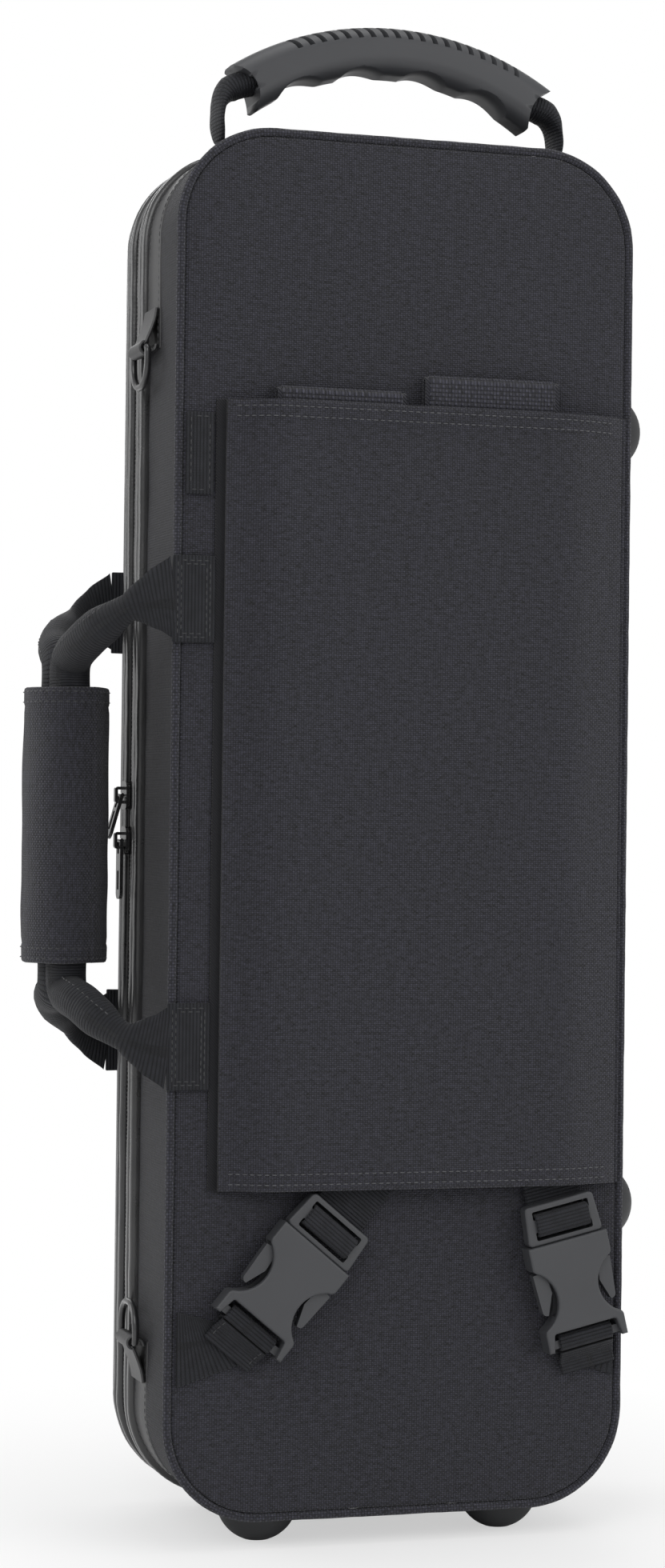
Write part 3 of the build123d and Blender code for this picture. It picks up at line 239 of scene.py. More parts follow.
def cover_fabric(name, colour, yarn, sheen=0.15):
    """Coarse plain-weave nylon."""
    material, tree, shader = finish_base(name, colour, roughness=0.72, sheen_weight=sheen,
                                         sheen_roughness=0.45, specular_ior_level=0.35)
    place = coordinates(tree, True)
    along, across = map_lengths(tree)
    weave = maths(tree, "MULTIPLY", wave(tree, along, yarn), wave(tree, across, yarn * 0.8))
    bumps = maths(tree, "POWER", maths(tree, "ABSOLUTE", weave), 0.55)
    over = maths(tree, "MULTIPLY_ADD", weave, 0.5, 0.5)
    drift = cloudy(tree, place, 9.0)
    slub = cloudy(tree, coordinates(tree, True, (170, 620, 1)), 1.0)
    fleck = cloudy(tree, coordinates(tree, True, (380, 520, 1)), 1.0)
    streaks = maths(tree, "MULTIPLY_ADD", maths(tree, "ADD", slub, fleck), 2.6, -2.1)
    tone = maths(tree, "ADD", maths(tree, "MULTIPLY", over, 0.5), maths(tree, "MULTIPLY", streaks, 0.45))
    tone = maths(tree, "ADD", tone, maths(tree, "MULTIPLY", drift, 0.2))
    # The colour is multiplied by the weave's bumps, the relief that also raises the surface, so it darkens in the
    # gaps between yarns: painted shade there, over the fabric's own slubs, streaks and drift.
    light = maths(tree, "MULTIPLY", tone, bumps)
    light.node.use_clamp = True
    tint(tree, shader, light, colour, low=0.15, high=3.4)
    yarns = maths(tree, "MULTIPLY", bumps, maths(tree, "MULTIPLY_ADD", over, 0.6, 0.4))
    height = maths(tree, "MULTIPLY_ADD", slub, 0.3, yarns)
    raise_surface(tree, shader, height, strength=1.0, depth=0.45 * yarn)
    return material


def webbing_fabric(name, colour, rib):
    """Webbing with heavy ribs across it and a fine braid in each rib."""
    material, tree, shader = finish_base(name, colour, roughness=0.66, sheen_weight=0.06, sheen_roughness=0.4,
                                         specular_ior_level=0.25)
    along, across = map_lengths(tree)
    ribs = ridges(tree, along, rib)
    slant = maths(tree, "ADD", across, maths(tree, "MULTIPLY", ribs, 0.35 * rib))
    braid = maths(tree, "MULTIPLY_ADD", ridges(tree, slant, 0.45 * rib), 0.35, 0.65)
    height = maths(tree, "MULTIPLY", maths(tree, "POWER", ribs, 0.5), braid)
    drift = cloudy(tree, coordinates(tree, True), 160.0)
    # The colour follows the rib height, so it darkens in the grooves between ribs: painted shade there, with the
    # drift as the webbing's own uneven tone.
    tone = maths(tree, "MULTIPLY", height, maths(tree, "MULTIPLY_ADD", drift, 0.8, 0.4))
    tint(tree, shader, tone, colour, low=0.12, high=2.3)
    raise_surface(tree, shader, height, strength=1.0, depth=0.32 * rib)
    return material


def twill_fabric(name, colour, pitch):
    """Fine diagonal weave of zip tapes and hook strips."""
    material, tree, shader = finish_base(name, colour, roughness=0.8, sheen_weight=0.15,
                                         specular_ior_level=0.3)
    along, across = map_lengths(tree)
    ridge = ridges(tree, maths(tree, "ADD", along, across), pitch)
    # The colour follows the ridge height, so the twill's grooves are painted darker: painted shade in the
    # grooves.
    tint(tree, shader, ridge, colour, low=0.5, high=1.6)
    raise_surface(tree, shader, ridge, strength=0.8, depth=0.3 * pitch)
    return material


def leatherette(name, colour, roughness, grain, coat=0.0):
    """Coated leatherette with a fine pebbled grain."""
    material, tree, shader = finish_base(name, colour, roughness, specular_ior_level=0.5, coat_weight=coat,
                                         coat_roughness=0.18)
    place = coordinates(tree, False)
    cells = tree.nodes.new("ShaderNodeTexVoronoi")
    cells.feature = "SMOOTH_F1"
    cells.inputs["Scale"].default_value = 1 / grain
    tree.links.new(place, cells.inputs["Vector"])
    drift = cloudy(tree, place, 55.0, 4.0)
    tint(tree, shader, drift, colour, low=0.7, high=1.5)
    roughen(tree, shader, drift, reach=0.18, low=roughness - 0.09)
    height = maths(tree, "ADD", cells.outputs["Distance"], maths(tree, "MULTIPLY", drift, 2.0))
    raise_surface(tree, shader, height, strength=0.35, depth=0.25 * grain)
    return material


def moulded(name, colour, roughness, grain):
    """Spark-eroded moulded plastic: fine grain, slightly polished in soft random patches."""
    material, tree, shader = finish_base(name, colour, roughness, specular_ior_level=0.5)
    place = coordinates(tree, False)
    wide = cloudy(tree, place, 28.0, 3.0)
    tint(tree, shader, wide, colour, low=0.88, high=1.14)
    roughen(tree, shader, wide, reach=0.16, low=roughness - 0.08)
    raise_surface(tree, shader, cloudy(tree, place, 1 / grain, 3.0), strength=0.22, depth=0.3 * grain)
    return material


def lacquer(name, colour, roughness):
    """Lacquered die-cast metal with faint scuffs."""
    material, tree, shader = finish_base(name, colour, roughness, metallic=0.35, specular_ior_level=0.6,
                                         coat_weight=0.6, coat_roughness=0.08)
    scuffs = cloudy(tree, coordinates(tree, False, (900, 900, 160)), 1.0, 4.0)
    tint(tree, shader, scuffs, colour, low=0.8, high=1.9)
    roughen(tree, shader, scuffs, reach=0.25, low=roughness - 0.1)
    raise_surface(tree, shader, cloudy(tree, coordinates(tree, False), 420.0), strength=0.12, depth=0.1 * MM)
    return material


def soft_pile(name, colour):
    """Short plush pile."""
    material, tree, shader = finish_base(name, colour, roughness=0.95, sheen_weight=0.8, sheen_roughness=0.35,
                                         specular_ior_level=0.15)
    place = coordinates(tree, False)
    pile = cloudy(tree, place, 1800.0, 2.0)
    brushed = cloudy(tree, place, 22.0, 3.0)
    tone = maths(tree, "ADD", maths(tree, "MULTIPLY", pile, 0.6), maths(tree, "MULTIPLY", brushed, 0.5))
    tint(tree, shader, tone, colour, low=0.5, high=1.8)
    raise_surface(tree, shader, pile, strength=0.9, depth=0.7 * MM)
    return material


def sewing_thread(name, colour):
    """Twisted thread."""
    material, tree, shader = finish_base(name, colour, roughness=0.55, sheen_weight=0.3,
                                         specular_ior_level=0.4)
    twist = cloudy(tree, coordinates(tree, False), 900.0)
    tint(tree, shader, twist, colour, low=0.6, high=1.4)
    raise_surface(tree, shader, twist, strength=0.4, depth=0.1 * MM)
    return material


def lined_board(name, colour):
    """Board wall wrapped in thin dark felt."""
    material, tree, shader = finish_base(name, colour, roughness=0.85, sheen_weight=0.3,
                                         specular_ior_level=0.25)
    felt = cloudy(tree, coordinates(tree, False, (700, 700, 500)), 1.0, 4.0)
    tint(tree, shader, felt, colour, low=0.6, high=1.5)
    raise_surface(tree, shader, felt, strength=0.4, depth=0.3 * MM)
    return material


def plated_steel(name, colour):
    """Dark plated steel with turning marks."""
    material, tree, shader = finish_base(name, colour, roughness=0.35, metallic=1.0)
    marks = cloudy(tree, coordinates(tree, False, (2200, 2200, 2200)), 1.0, 3.0)
    tint(tree, shader, marks, colour, low=0.6, high=1.3)
    raise_surface(tree, shader, marks, strength=0.2, depth=0.05 * MM)
    return material


FINISHES = {}


def make_finishes(cloth, colours):
    """All materials of the case, by the finish they show."""
    FINISHES.update(
        cover=cover_fabric("cover fabric", colours.fabric, cloth.yarn),
        # The side finish is the cover fabric at 0.6 of its colour: painted shade for walls that take less light
        # than the back panel.
        side=cover_fabric("shaded side fabric", shade(colours.fabric, 0.6), cloth.yarn, sheen=0.08),
        grip=cover_fabric("grip fabric", shade(colours.fabric, 0.95), cloth.yarn * 0.95),
        piping=cover_fabric("piping tape", shade(colours.fabric, 1.15), cloth.yarn * 1.2),
        lining=soft_pile("plush lining", colours.plush),
        webbing=webbing_fabric("webbing", colours.webbing, cloth.rib),
        ribbon=webbing_fabric("ribbon", shade(colours.webbing, 0.9), cloth.rib * 0.55),
        binding=twill_fabric("binding", shade(colours.fabric, 0.75), 1.8 * MM),
        tape=twill_fabric("zip tape", shade(colours.fabric, 0.5), 0.6 * MM),
        hook=twill_fabric("hook tape", shade(colours.fabric, 0.35), 1.5 * MM),
        mesh=cover_fabric("air mesh", shade(colours.fabric, 1.2), 2.2 * MM),
        lip=leatherette("lip leatherette", colours.leatherette, 0.3, 0.9 * MM, coat=0.35),
        band=leatherette("band leatherette", shade(colours.leatherette, 1.3), 0.5, 1.1 * MM, coat=0.1),
        coil=moulded("zip coil", shade(colours.leatherette, 1.6), 0.35, 0.5 * MM),
        moulding=moulded("moulded plastic", colours.moulding, 0.5, 0.45 * MM),
        grip_moulding=moulded("grip moulding", shade(colours.moulding, 0.95), 0.46, 0.5 * MM),
        foot=moulded("foot rubber", shade(colours.moulding, 0.5), 0.55, 0.8 * MM),
        metal=lacquer("black lacquer", (0.012, 0.012, 0.013), 0.25),
        wire=lacquer("ring lacquer", (0.018, 0.018, 0.019), 0.38),
        steel=plated_steel("plated steel", (0.25, 0.25, 0.26)),
        board=lined_board("lined board", shade(colours.plush, 0.8)),
        thread=sewing_thread("sewing thread", colours.thread),
        dark_thread=sewing_thread("dark thread", shade(colours.thread, 0.45)),
    )


def finish_named(name):
    """One of the finishes, once they are made."""
    if name not in FINISHES:
        raise RuntimeError("The finishes come before the pieces")
    return FINISHES[name]


# Mesh tools

def clamp(value, low=0, high=1):
    """A value kept between two limits."""
    return min(max(value, low), high)


def even_stops(low, high, count):
    """Stops that part a length evenly, without its ends."""
    return [low + (high - low) * i / count for i in range(1, count)]


def corners_of(faces):
    """Points of some faces."""
    return {vert for face in faces for vert in face.verts}


def axes_at(point, first, second, third):
    """Place at a point from its three axes."""
    return Matrix.Translation(point) @ Matrix((first, second, third)).transposed().to_4x4()


def linked(name, data):
    """New object in the scene round its data."""
    item = bpy.data.objects.new(name, data)
    bpy.context.scene.collection.objects.link(item)
    return item


def mesh_object(name, form):
    """New object in the scene with a form as its mesh."""
    mesh = bpy.data.meshes.new(name)
    form.to_mesh(mesh)
    form.free()
    return linked(name, mesh)


def new_form():
    """Empty form whose points note how far they lie along and across a piece."""
    form = bmesh.new()
    form.verts.layers.float.new("run")
    form.verts.layers.float.new("across")
    return form


def sweep(form, section, places, closed=True, capped=True):
    """Pushes a section along places, which are pairs of a matrix and the length run so far."""
    run = form.verts.layers.float["run"]
    across = form.verts.layers.float["across"]
    first, start = places[0]
    verts = [form.verts.new(first @ Vector((a, b, 0))) for a, b in section]
    width = 0
    for i, vert in enumerate(verts):
        width += (vert.co - verts[i - 1].co).length if i else 0
        vert[across] = width
        vert[run] = start
    edges = [form.edges.new(pair) for pair in zip(verts, verts[1:])]
    if closed:
        edges.append(form.edges.new((verts[-1], verts[0])))
    ends = [list(edges)]
    before = first
    for place, length in places[1:]:
        made = bmesh.ops.extrude_edge_only(form, edges=edges)["geom"]
        verts = [item for item in made if isinstance(item, bmesh.types.BMVert)]
        edges = [item for item in made if isinstance(item, bmesh.types.BMEdge)]
        bmesh.ops.transform(form, matrix=place @ before.inverted(), verts=verts)
        for vert in verts:
            vert[run] = length
        before = place
    ends.append(edges)
    if closed and capped:
        for loop in ends:
            bmesh.ops.holes_fill(form, edges=loop, sides=len(section))


def cloth_map(form):
    """Layer of the cloth map, made on first use."""
    return form.loops.layers.uv.get("cloth") or form.loops.layers.uv.new("cloth")


def write_map(form, flat=None, turned=False):
    """Cloth map from the lengths along and across, or from a flat projection of each point."""
    run = form.verts.layers.float["run"]
    across = form.verts.layers.float["across"]
    layer = cloth_map(form)
    for face in form.faces:
        for loop in face.loops:
            vert = loop.vert
            lengths = (vert[across], vert[run]) if turned else (vert[run], vert[across])
            loop[layer].uv = flat(vert.co) if flat else lengths


def ripple(form, amount, size, where=None, seed=0.0):
    """Uneven hand of the fabric: moves points along their normals by soft noise."""
    form.normal_update()
    for vert in form.verts:
        share = where(vert.co) if where else 1
        if share:
            lift = noise.noise(vert.co / size + Vector((seed, seed, seed)))
            vert.co += vert.normal * (amount * lift * share)


def finished(form, name, finish, body, replaces=(), sharp=40, merge=0.02 * MM):
    """Turns a form into a piece that rides on its body."""
    bmesh.ops.remove_doubles(form, verts=form.verts, dist=merge)
    bmesh.ops.recalc_face_normals(form, faces=form.faces)
    piece = mesh_object(name, form)
    piece.data.shade_smooth()
    piece.data.set_sharp_from_angle(angle=radians(sharp))
    piece.data.materials.append(finish_named(finish))
    if body:
        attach(piece, body)
    if replaces:
        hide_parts(*replaces)
    return piece


def sewn(seam, name, body, finish="dark_thread"):
    """Turns rows of stitches into a piece of their own."""
    write_map(seam)
    finished(seam, name, finish, body)


def outline_place(run):
    """Place on the body's outline after a run from the middle of the upper end wall."""
    flat_x, flat_z = HALF_W - CORNER_R, HALF_H - CORNER_R
    arc = CORNER_R * pi / 2
    legs = (flat_x, 2 * flat_z, 2 * flat_x, 2 * flat_z, flat_x)
    centres = ((-flat_x, flat_z), (-flat_x, -flat_z), (flat_x, -flat_z), (flat_x, flat_z))
    left = run % outline_length()
    turn = pi / 2
    for leg, centre in zip(legs, centres):
        if left <= leg:
            break
        left -= leg
        if left <= arc:
            turn += left / CORNER_R
            out = Vector((cos(turn), 0, sin(turn)))
            point = Vector((centre[0], 0, centre[1] + MID_Z)) + out * CORNER_R
            return outward_matrix(point, out)
        left -= arc
        turn += pi / 2
    out = Vector((round(cos(turn)), 0, round(sin(turn))))
    starts = ((0, HALF_H), (-HALF_W, flat_z), (-flat_x, -HALF_H), (HALF_W, -flat_z), (flat_x, HALF_H))
    corner = starts[round((turn - pi / 2) / (pi / 2))]
    forward = out.cross(Vector((0, 1, 0)))
    return outward_matrix(Vector((corner[0], 0, corner[1] + MID_Z)) + forward * left, out)


def outward_matrix(point, out):
    """Frame with its first axis outwards, its second along +Y."""
    return axes_at(point, out, (0, 1, 0), out.cross(Vector((0, 1, 0))))


def outline_length():
    """Length once round the body."""
    return 4 * (HALF_W + HALF_H) - 8 * CORNER_R + 2 * pi * CORNER_R


def run_to_x(x):
    """Run from the middle of the end wall to a point at x on the rounded corner."""
    flat_x = HALF_W - CORNER_R
    return flat_x + CORNER_R * asin(min((abs(x) - flat_x) / CORNER_R, 1))


def run_to_z(z):
    """Run to a point at height z on the zipped side."""
    return HALF_W - CORNER_R + CORNER_R * pi / 2 + TOP_Z - CORNER_R - z


def outline_places(start, end, step=4 * MM):
    """Evenly spaced places on the outline."""
    count = max(ceil((end - start) / step), 2)
    runs = [start + (end - start) * i / count for i in range(count + 1)]
    return [(outline_place(run), run) for run in runs]


def whole_outline():
    """Places all the way round."""
    return outline_places(0, outline_length())


def zipped_outline():
    """Places from one end of the zip to the other."""
    end = run_to_x(ZIP_END_X)
    return outline_places(-end, outline_length() / 2 + end)


def rounded_section(out0, out1, y0, y1, radius, steps=4):
    """Section of a padded strip: square on the wall, rounded outside. It starts on the wall."""
    points = [(out0, y0)]
    for centre_y, start in ((y0 + radius, pi), (y1 - radius, pi / 2)):
        for i in range(steps + 1):
            turn = start - pi / 2 * i / steps
            points.append((out1 - radius + radius * sin(turn), centre_y + radius * cos(turn)))
    points.append((out1 - radius, y1))
    points.append((out0, y1))
    return points


def place_on(places, run):
    """Matrix at a run along a list of places."""
    for (low, a), (high, b) in zip(places, places[1:]):
        if a <= run <= b:
            return low.lerp(high, (run - a) / max(b - a, 1e-9))
    return places[-1][0]


def stitch_row(form, places, out, side, stitch, thread, gap=0.45):
    """Stitches along places, at a distance outwards and sideways from them."""
    start, end = places[0][1], places[-1][1]
    pitch = stitch * (1 + gap)
    count = int((end - start) / pitch)
    batch = 40
    mesh = bpy.data.meshes.new("stretch")
    shape = Matrix.Translation((out, side, 0)) @ Matrix.Diagonal((thread, thread, stitch / 2, 1))
    for first in range(0, count, batch):
        stretch = bmesh.new()
        for i in range(first, min(first + batch, count)):
            place = place_on(places, start + (i + 0.5) * pitch)
            bmesh.ops.create_uvsphere(stretch, u_segments=6, v_segments=5, radius=1, matrix=place @ shape)
        stretch.to_mesh(mesh)
        stretch.free()
        form.from_mesh(mesh)
    bpy.data.meshes.remove(mesh)


def seam_row(form, places, out, side, longer=1):
    """Stitches in the thread that the user has set."""
    cloth = bpy.context.scene.case_cloth
    stitch_row(form, places, out, side, cloth.stitch * longer, cloth.thread)


def path_places(points, widths):
    """Places along points, with the half width, one vector or one for each point, as second axis."""
    if isinstance(widths, Vector):
        widths = [widths] * len(points)
    places, run = [], 0
    for i, point in enumerate(points):
        ahead = points[min(i + 1, len(points) - 1)] - points[max(i - 1, 0)]
        forward = ahead.normalized()
        if i:
            run += (point - points[i - 1]).length
        places.append((axes_at(point, widths[i].cross(forward).normalized(), widths[i], forward), run))
    return places


def stretched(places, out, side):
    """The same places with their first two axes scaled."""
    return [(place @ Matrix.Diagonal((out, side, 1, 1)), run) for place, run in places]


def unit_places(places):
    """The same places with their first two axes at unit length."""
    return [(place @ Matrix.Diagonal((1 / place.col[0].xyz.length, 1 / place.col[1].xyz.length, 1, 1)), run)
            for place, run in places]


def moved(points, x=0, z=0):
    """Points moved across the case and along its height."""
    return [point + Vector((x, 0, z)) for point in points]


def smooth_path(points, per_leg=6):
    """Points on a smooth curve through the given ones."""
    path = []
    last = len(points) - 1
    for i in range(last):
        a, b = points[max(i - 1, 0)], points[i]
        c, d = points[i + 1], points[min(i + 2, last)]
        for j in range(per_leg):
            t = j / per_leg
            path.append(0.5 * (2 * b + (c - a) * t + (2 * a - 5 * b + 4 * c - d) * t**2
                               + (3 * b - a - 3 * c + d) * t**3))
    path.append(points[-1])
    return path


def web_section(thickness, across=10):
    """Section of webbing, its width from -1 to 1, starting at the middle of its back."""
    half, flat = thickness / 2, 0.96
    front = [(half, flat * (2 * i / across - 1)) for i in range(across + 1)]
    back = [(-half, -b) for _, b in front]
    loop = front + [(0, 1)] + back + [(0, -1)]
    start = across + 2 + across // 2
    return loop[start:] + loop[:start]


def ring_section(half_out, half_side, count=24):
    """Oval section."""
    turns = [2 * pi * i / count for i in range(count)]
    return [(half_out * cos(turn), half_side * sin(turn)) for turn in turns]


def slice_flat(form, faces, axis, stops):
    """Cuts faces at planes across one axis."""
    normal = Vector((0, 0, 0))
    normal[axis] = 1
    live = list(faces)
    for stop in stops:
        geom = live + list({e for f in live for e in f.edges}) + list(corners_of(live))
        made = bmesh.ops.bisect_plane(form, geom=geom, dist=1e-6, plane_co=normal * stop, plane_no=normal)
        live = [item for item in made["geom"] if isinstance(item, bmesh.types.BMFace)]
    return live


def rounded_loop(half_x, half_z, centre, radius, y=0, count=6):
    """Points of a rounded rectangle across Y."""
    points = []
    for k, (sx, sz) in enumerate(((1, 1), (-1, 1), (-1, -1), (1, -1))):
        for i in range(count + 1):
            turn = pi / 2 * (k + i / count)
            points.append(Vector((centre[0] + sx * (half_x - radius) + radius * cos(turn), y,
                                  centre[1] + sz * (half_z - radius) + radius * sin(turn))))
    return points


def padded_sheet(form, half_x, half_z, centre, radius, y_back, y_face, edge, crown):
    """Padded panel across Y with a rolled edge and a crowned face."""
    toward = 1 if y_face > y_back else -1
    outline = rounded_loop(half_x, half_z, centre, radius, y_back, 10)
    face = form.faces.new([form.verts.new(point) for point in outline])
    made = bmesh.ops.extrude_face_region(form, geom=[face])["geom"]
    top = next(item for item in made if isinstance(item, bmesh.types.BMFace))
    bmesh.ops.translate(form, vec=(0, y_face - y_back - toward * edge, 0), verts=top.verts)
    for share_in, share_up in ((0.3, 0.6), (0.4, 0.3), (0.6, 0.1)):
        bmesh.ops.inset_region(form, faces=[top], thickness=edge * share_in)
        bmesh.ops.translate(form, vec=(0, toward * edge * share_up, 0), verts=top.verts)
    live = slice_flat(form, [top], 0, even_stops(centre[0] - half_x, centre[0] + half_x, 14))
    live = slice_flat(form, live, 2, even_stops(centre[1] - half_z, centre[1] + half_z, 30))
    rim = {v for v in corners_of(live) if any(g not in live for g in v.link_faces)}
    for vert in corners_of(live) - rim:
        u = (vert.co.x - centre[0]) / half_x
        v = (vert.co.z - centre[1]) / half_z
        vert.co.y += toward * crown * (1 - abs(u)**4) * (1 - abs(v)**6)
    return live


def across_y(co):
    """Flat projection for pieces that face along Y."""
    return co.x, co.z


def across_x(co):
    """Flat projection for pieces that face along X."""
    return co.y, co.z


# Walls, panel and lid

def make_back_panel():
    """Padded back panel with its crowned face."""
    inset, edge, crown, face_depth = 0.6 * MM, 1.2 * MM, 0.4 * MM, 0.6 * MM
    form = new_form()
    padded_sheet(form, HALF_W - inset, HALF_H - inset, (0, MID_Z), CORNER_R - inset,
                 PANEL_BACK_Y, FRONT_Y + crown, edge, crown)
    ripple(form, amount=0.35 * MM, size=60 * MM, where=lambda co: co.y < FRONT_Y + face_depth)
    write_map(form, across_y)
    piece = finished(form, "back_panel", "cover", "tray", ["back_panel_fabric"], merge=1e-6)


def make_piping():
    """Piping round the back panel: a cord in a folded tape, with its seam."""
    low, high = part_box("back_panel_piping")
    radius = (high.y - low.y) / 2
    out = high.x - HALF_W - radius
    middle = (low.y + high.y) / 2
    seam_out, seam_in = 0.25 * MM, 2.4 * MM
    form, seam = new_form(), new_form()
    section = [(out - a, middle + b) for a, b in ring_section(radius, radius, 14)]
    sweep(form, section, whole_outline(), capped=False)
    write_map(form)
    ripple(form, amount=0.2 * MM, size=9 * MM)
    finished(form, "piping", "piping", "tray", ["back_panel_piping"])
    seam_row(seam, whole_outline(), seam_out, high.y + seam_in, longer=0.8)
    sewn(seam, "piping_stitches", "tray")


def make_side_cover():
    """Side fabric of the tray, puffed between its seams."""
    puff, steps = 0.9 * MM, 16
    form = new_form()
    y0, y1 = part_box("tray_side_fabric")[0].y, NEAR_LIP[0]
    section = [(-WALL_IN, y0), (0, y0)]
    section += [(puff * sin(pi * i / steps)**0.6, y0 + (y1 - y0) * i / steps) for i in range(1, steps)]
    section += [(0, y1), (-WALL_IN, y1)]
    sweep(form, section, whole_outline(), capped=False)
    write_map(form)
    ripple(form, amount=0.6 * MM, size=35 * MM)
    finished(form, "side_cover", "side", "tray", ["tray_side_fabric"])


def lip_section(y0, y1):
    """Section of a stitched lip: two rounded welts with a groove between them."""
    shares = ((0, -0.3), (0, 0.45), (0.03, 0.78), (0.1, 0.95), (0.22, 1.0), (0.36, 0.98), (0.44, 0.9),
              (0.48, 0.78), (0.52, 0.78), (0.56, 0.9), (0.64, 0.99), (0.78, 1.0), (0.9, 0.95), (0.97, 0.78),
              (1, 0.45), (1, -0.3))
    return [(LIP_OUT * rise, y0 + (y1 - y0) * share) for share, rise in shares]


def make_lip(name, y0, y1, body):
    """Leatherette lip along one half of the zip, with the stitches in its groove."""
    form, seam = new_form(), new_form()
    places = zipped_outline()
    sweep(form, lip_section(y0, y1), places)
    write_map(form)
    ripple(form, amount=0.35 * MM, size=14 * MM)
    finished(form, name, "lip", body, [body + "_zip_lip"])
    seam_row(seam, places, LIP_OUT * 0.8, (y0 + y1) / 2, longer=1.2)
    sewn(seam, name + "_stitches", body)


def make_zip(side):
    """Tape and coil of one half of the zip."""
    tape_low, tape_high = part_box(side + "_zip_tape")
    coil_low, coil_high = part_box(side + "_zip_coil")
    out = -tape_low.x - HALF_W
    form, teeth = new_form(), new_form()
    places = zipped_outline()
    y0, y1 = tape_low.y, tape_high.y
    sweep(form, [(-WALL_IN, y0), (out, y0), (out, y1), (-WALL_IN, y1)], places)
    write_map(form)
    finished(form, side + "_tape", "tape", side, [side + "_zip_tape"])
    pitch, tooth, wire_r = 2.3 * MM, 1.7 * MM, 0.48 * MM
    half_rise = (-coil_low.x - HALF_W - out) / 2
    half_width = (coil_high.y - coil_low.y) / 2
    middle = (coil_low.y + coil_high.y) / 2
    lead = 0 if side == "tray" else pitch / 2
    later = [(place, run) for place, run in places if run >= places[0][1] + lead]
    stitch_row(teeth, stretched(later, half_rise / wire_r, half_width / wire_r),
               (out + half_rise) * wire_r / half_rise, middle * wire_r / half_width, tooth, wire_r,
               gap=pitch / tooth - 1)
    write_map(teeth)
    finished(teeth, side + "_coil", "coil", side, [side + "_zip_coil"])


def make_corner_bands():
    """Leatherette bands round both corners of the zipped side."""
    low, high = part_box("corner_bands")
    out = -low.x - HALF_W
    ring_in, seam_in = 1.8 * MM, 2.5 * MM
    form, seam = new_form(), new_form()
    ring_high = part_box("d_ring_upper")[1].z - ring_in
    ring_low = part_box("d_ring_lower")[0].z + ring_in
    spans = ((run_to_x(high.x), run_to_z(ring_high)),
             (run_to_z(ring_low), outline_length() / 2 - run_to_x(high.x)))
    for start, end in spans:
        places = outline_places(start, end)
        sweep(form, rounded_section(0, out, low.y, high.y, out * 0.6), places)
        for y in (low.y + seam_in, high.y - seam_in):
            seam_row(seam, places, out, y)
    write_map(form)
    ripple(form, amount=0.4 * MM, size=18 * MM)
    finished(form, "leatherette_bands", "band", "tray", ["corner_bands"])
    sewn(seam, "corner_band_stitches", "tray")


def make_hinge_strip():
    """Fabric strip that joins lid and tray and bends where they meet."""
    tray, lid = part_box("tray_hinge_strip"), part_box("lid_hinge_strip")
    out, back, gap, reach, steps = tray[1].x - HALF_W, 0.1 * MM, 0.4 * MM, 5 * MM, 18
    form = new_form()
    end = run_to_x(ZIP_END_X)
    places = outline_places(outline_length() / 2 + end + gap, outline_length() - end - gap)
    y0, y1 = tray[0].y, lid[1].y
    section = [(back, y0), (out, y0)] + [(out, y) for y in even_stops(y0, y1, steps)]
    section += [(out, y1), (back, y1)] + [(back, y) for y in even_stops(y1, y0, steps)]
    sweep(form, section, places)
    write_map(form)
    piece = finished(form, "hinge_strip", "side", None,
                     ["tray_hinge_strip", "lid_hinge_strip"])
    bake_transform(piece, "tray", "lid", start=(HALF_W, ZIP_Y - reach, MID_Z), end=(HALF_W, ZIP_Y + reach, MID_Z))


def make_lid_cover():
    """Fitted cover of the lid: rounded far edge and slightly crowned sides."""
    form = new_form()
    y0, radius, puff, steps = FAR_LIP[1], 5 * MM, 0.7 * MM, 6
    section = [(-WALL_IN, y0), (0, y0)]
    y1 = BACK_Y - radius
    section += [(puff * sin(pi * i / steps), y0 + (y1 - y0) * i / steps) for i in range(1, steps)]
    turns = [pi / 2 * i / steps for i in range(steps + 1)]
    section += [(radius * (cos(turn) - 1), y1 + radius * sin(turn)) for turn in turns]
    sweep(form, section, whole_outline(), closed=False)
    write_map(form)
    bmesh.ops.remove_doubles(form, verts=form.verts, dist=1e-5)
    rim = [e for e in form.edges if e.is_boundary and e.verts[0].co.y > BACK_Y - 0.1 * MM]
    face = bmesh.ops.holes_fill(form, edges=rim, sides=0)["faces"]
    layer = cloth_map(form)
    live = slice_flat(form, face, 0, even_stops(-HALF_W, HALF_W, 16))
    live = slice_flat(form, live, 2, even_stops(LOW_Z, TOP_Z, 32))
    for item in live:
        for loop in item.loops:
            loop[layer].uv = across_y(loop.vert.co)
    finished(form, "lid_cover", "cover", "lid", ["lid_fabric"])


def make_hinge_side_panel():
    """Padded fabric panel on the hinged side, cut round the lower bumper."""
    low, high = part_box("hinge_side_panel")
    corner, edge, bumper_r, depth = 12 * MM, 1.2 * MM, 21.6 * MM, 100 * MM
    form = new_form()
    centre = ((low.y + high.y) / 2, (low.z + high.z) / 2)
    padded_sheet(form, (high.y - low.y) / 2, (high.z - low.z) / 2, centre, corner, 0, high.x - low.x,
                 edge, crown=0)
    turn = Matrix(((0, 1, 0, low.x), (1, 0, 0, 0), (0, 0, 1, 0), (0, 0, 0, 1)))
    bmesh.ops.transform(form, matrix=turn, verts=form.verts)
    write_map(form, across_x)
    piece = finished(form, "side_panel", "side", "tray", ["hinge_side_panel"])
    low, high = next(corners for corners in islands("tray_feet") if corners[1].x > HALF_W + 4 * MM)
    hole = bmesh.new()
    middle = Matrix.Translation((HALF_W, (low.y + high.y) / 2, (low.z + high.z) / 2))
    bmesh.ops.create_cone(hole, cap_ends=True, segments=40, radius1=bumper_r, radius2=bumper_r, depth=depth,
                          matrix=middle @ Matrix.Rotation(pi / 2, 4, "Y"))
    cut_away(piece, hole)


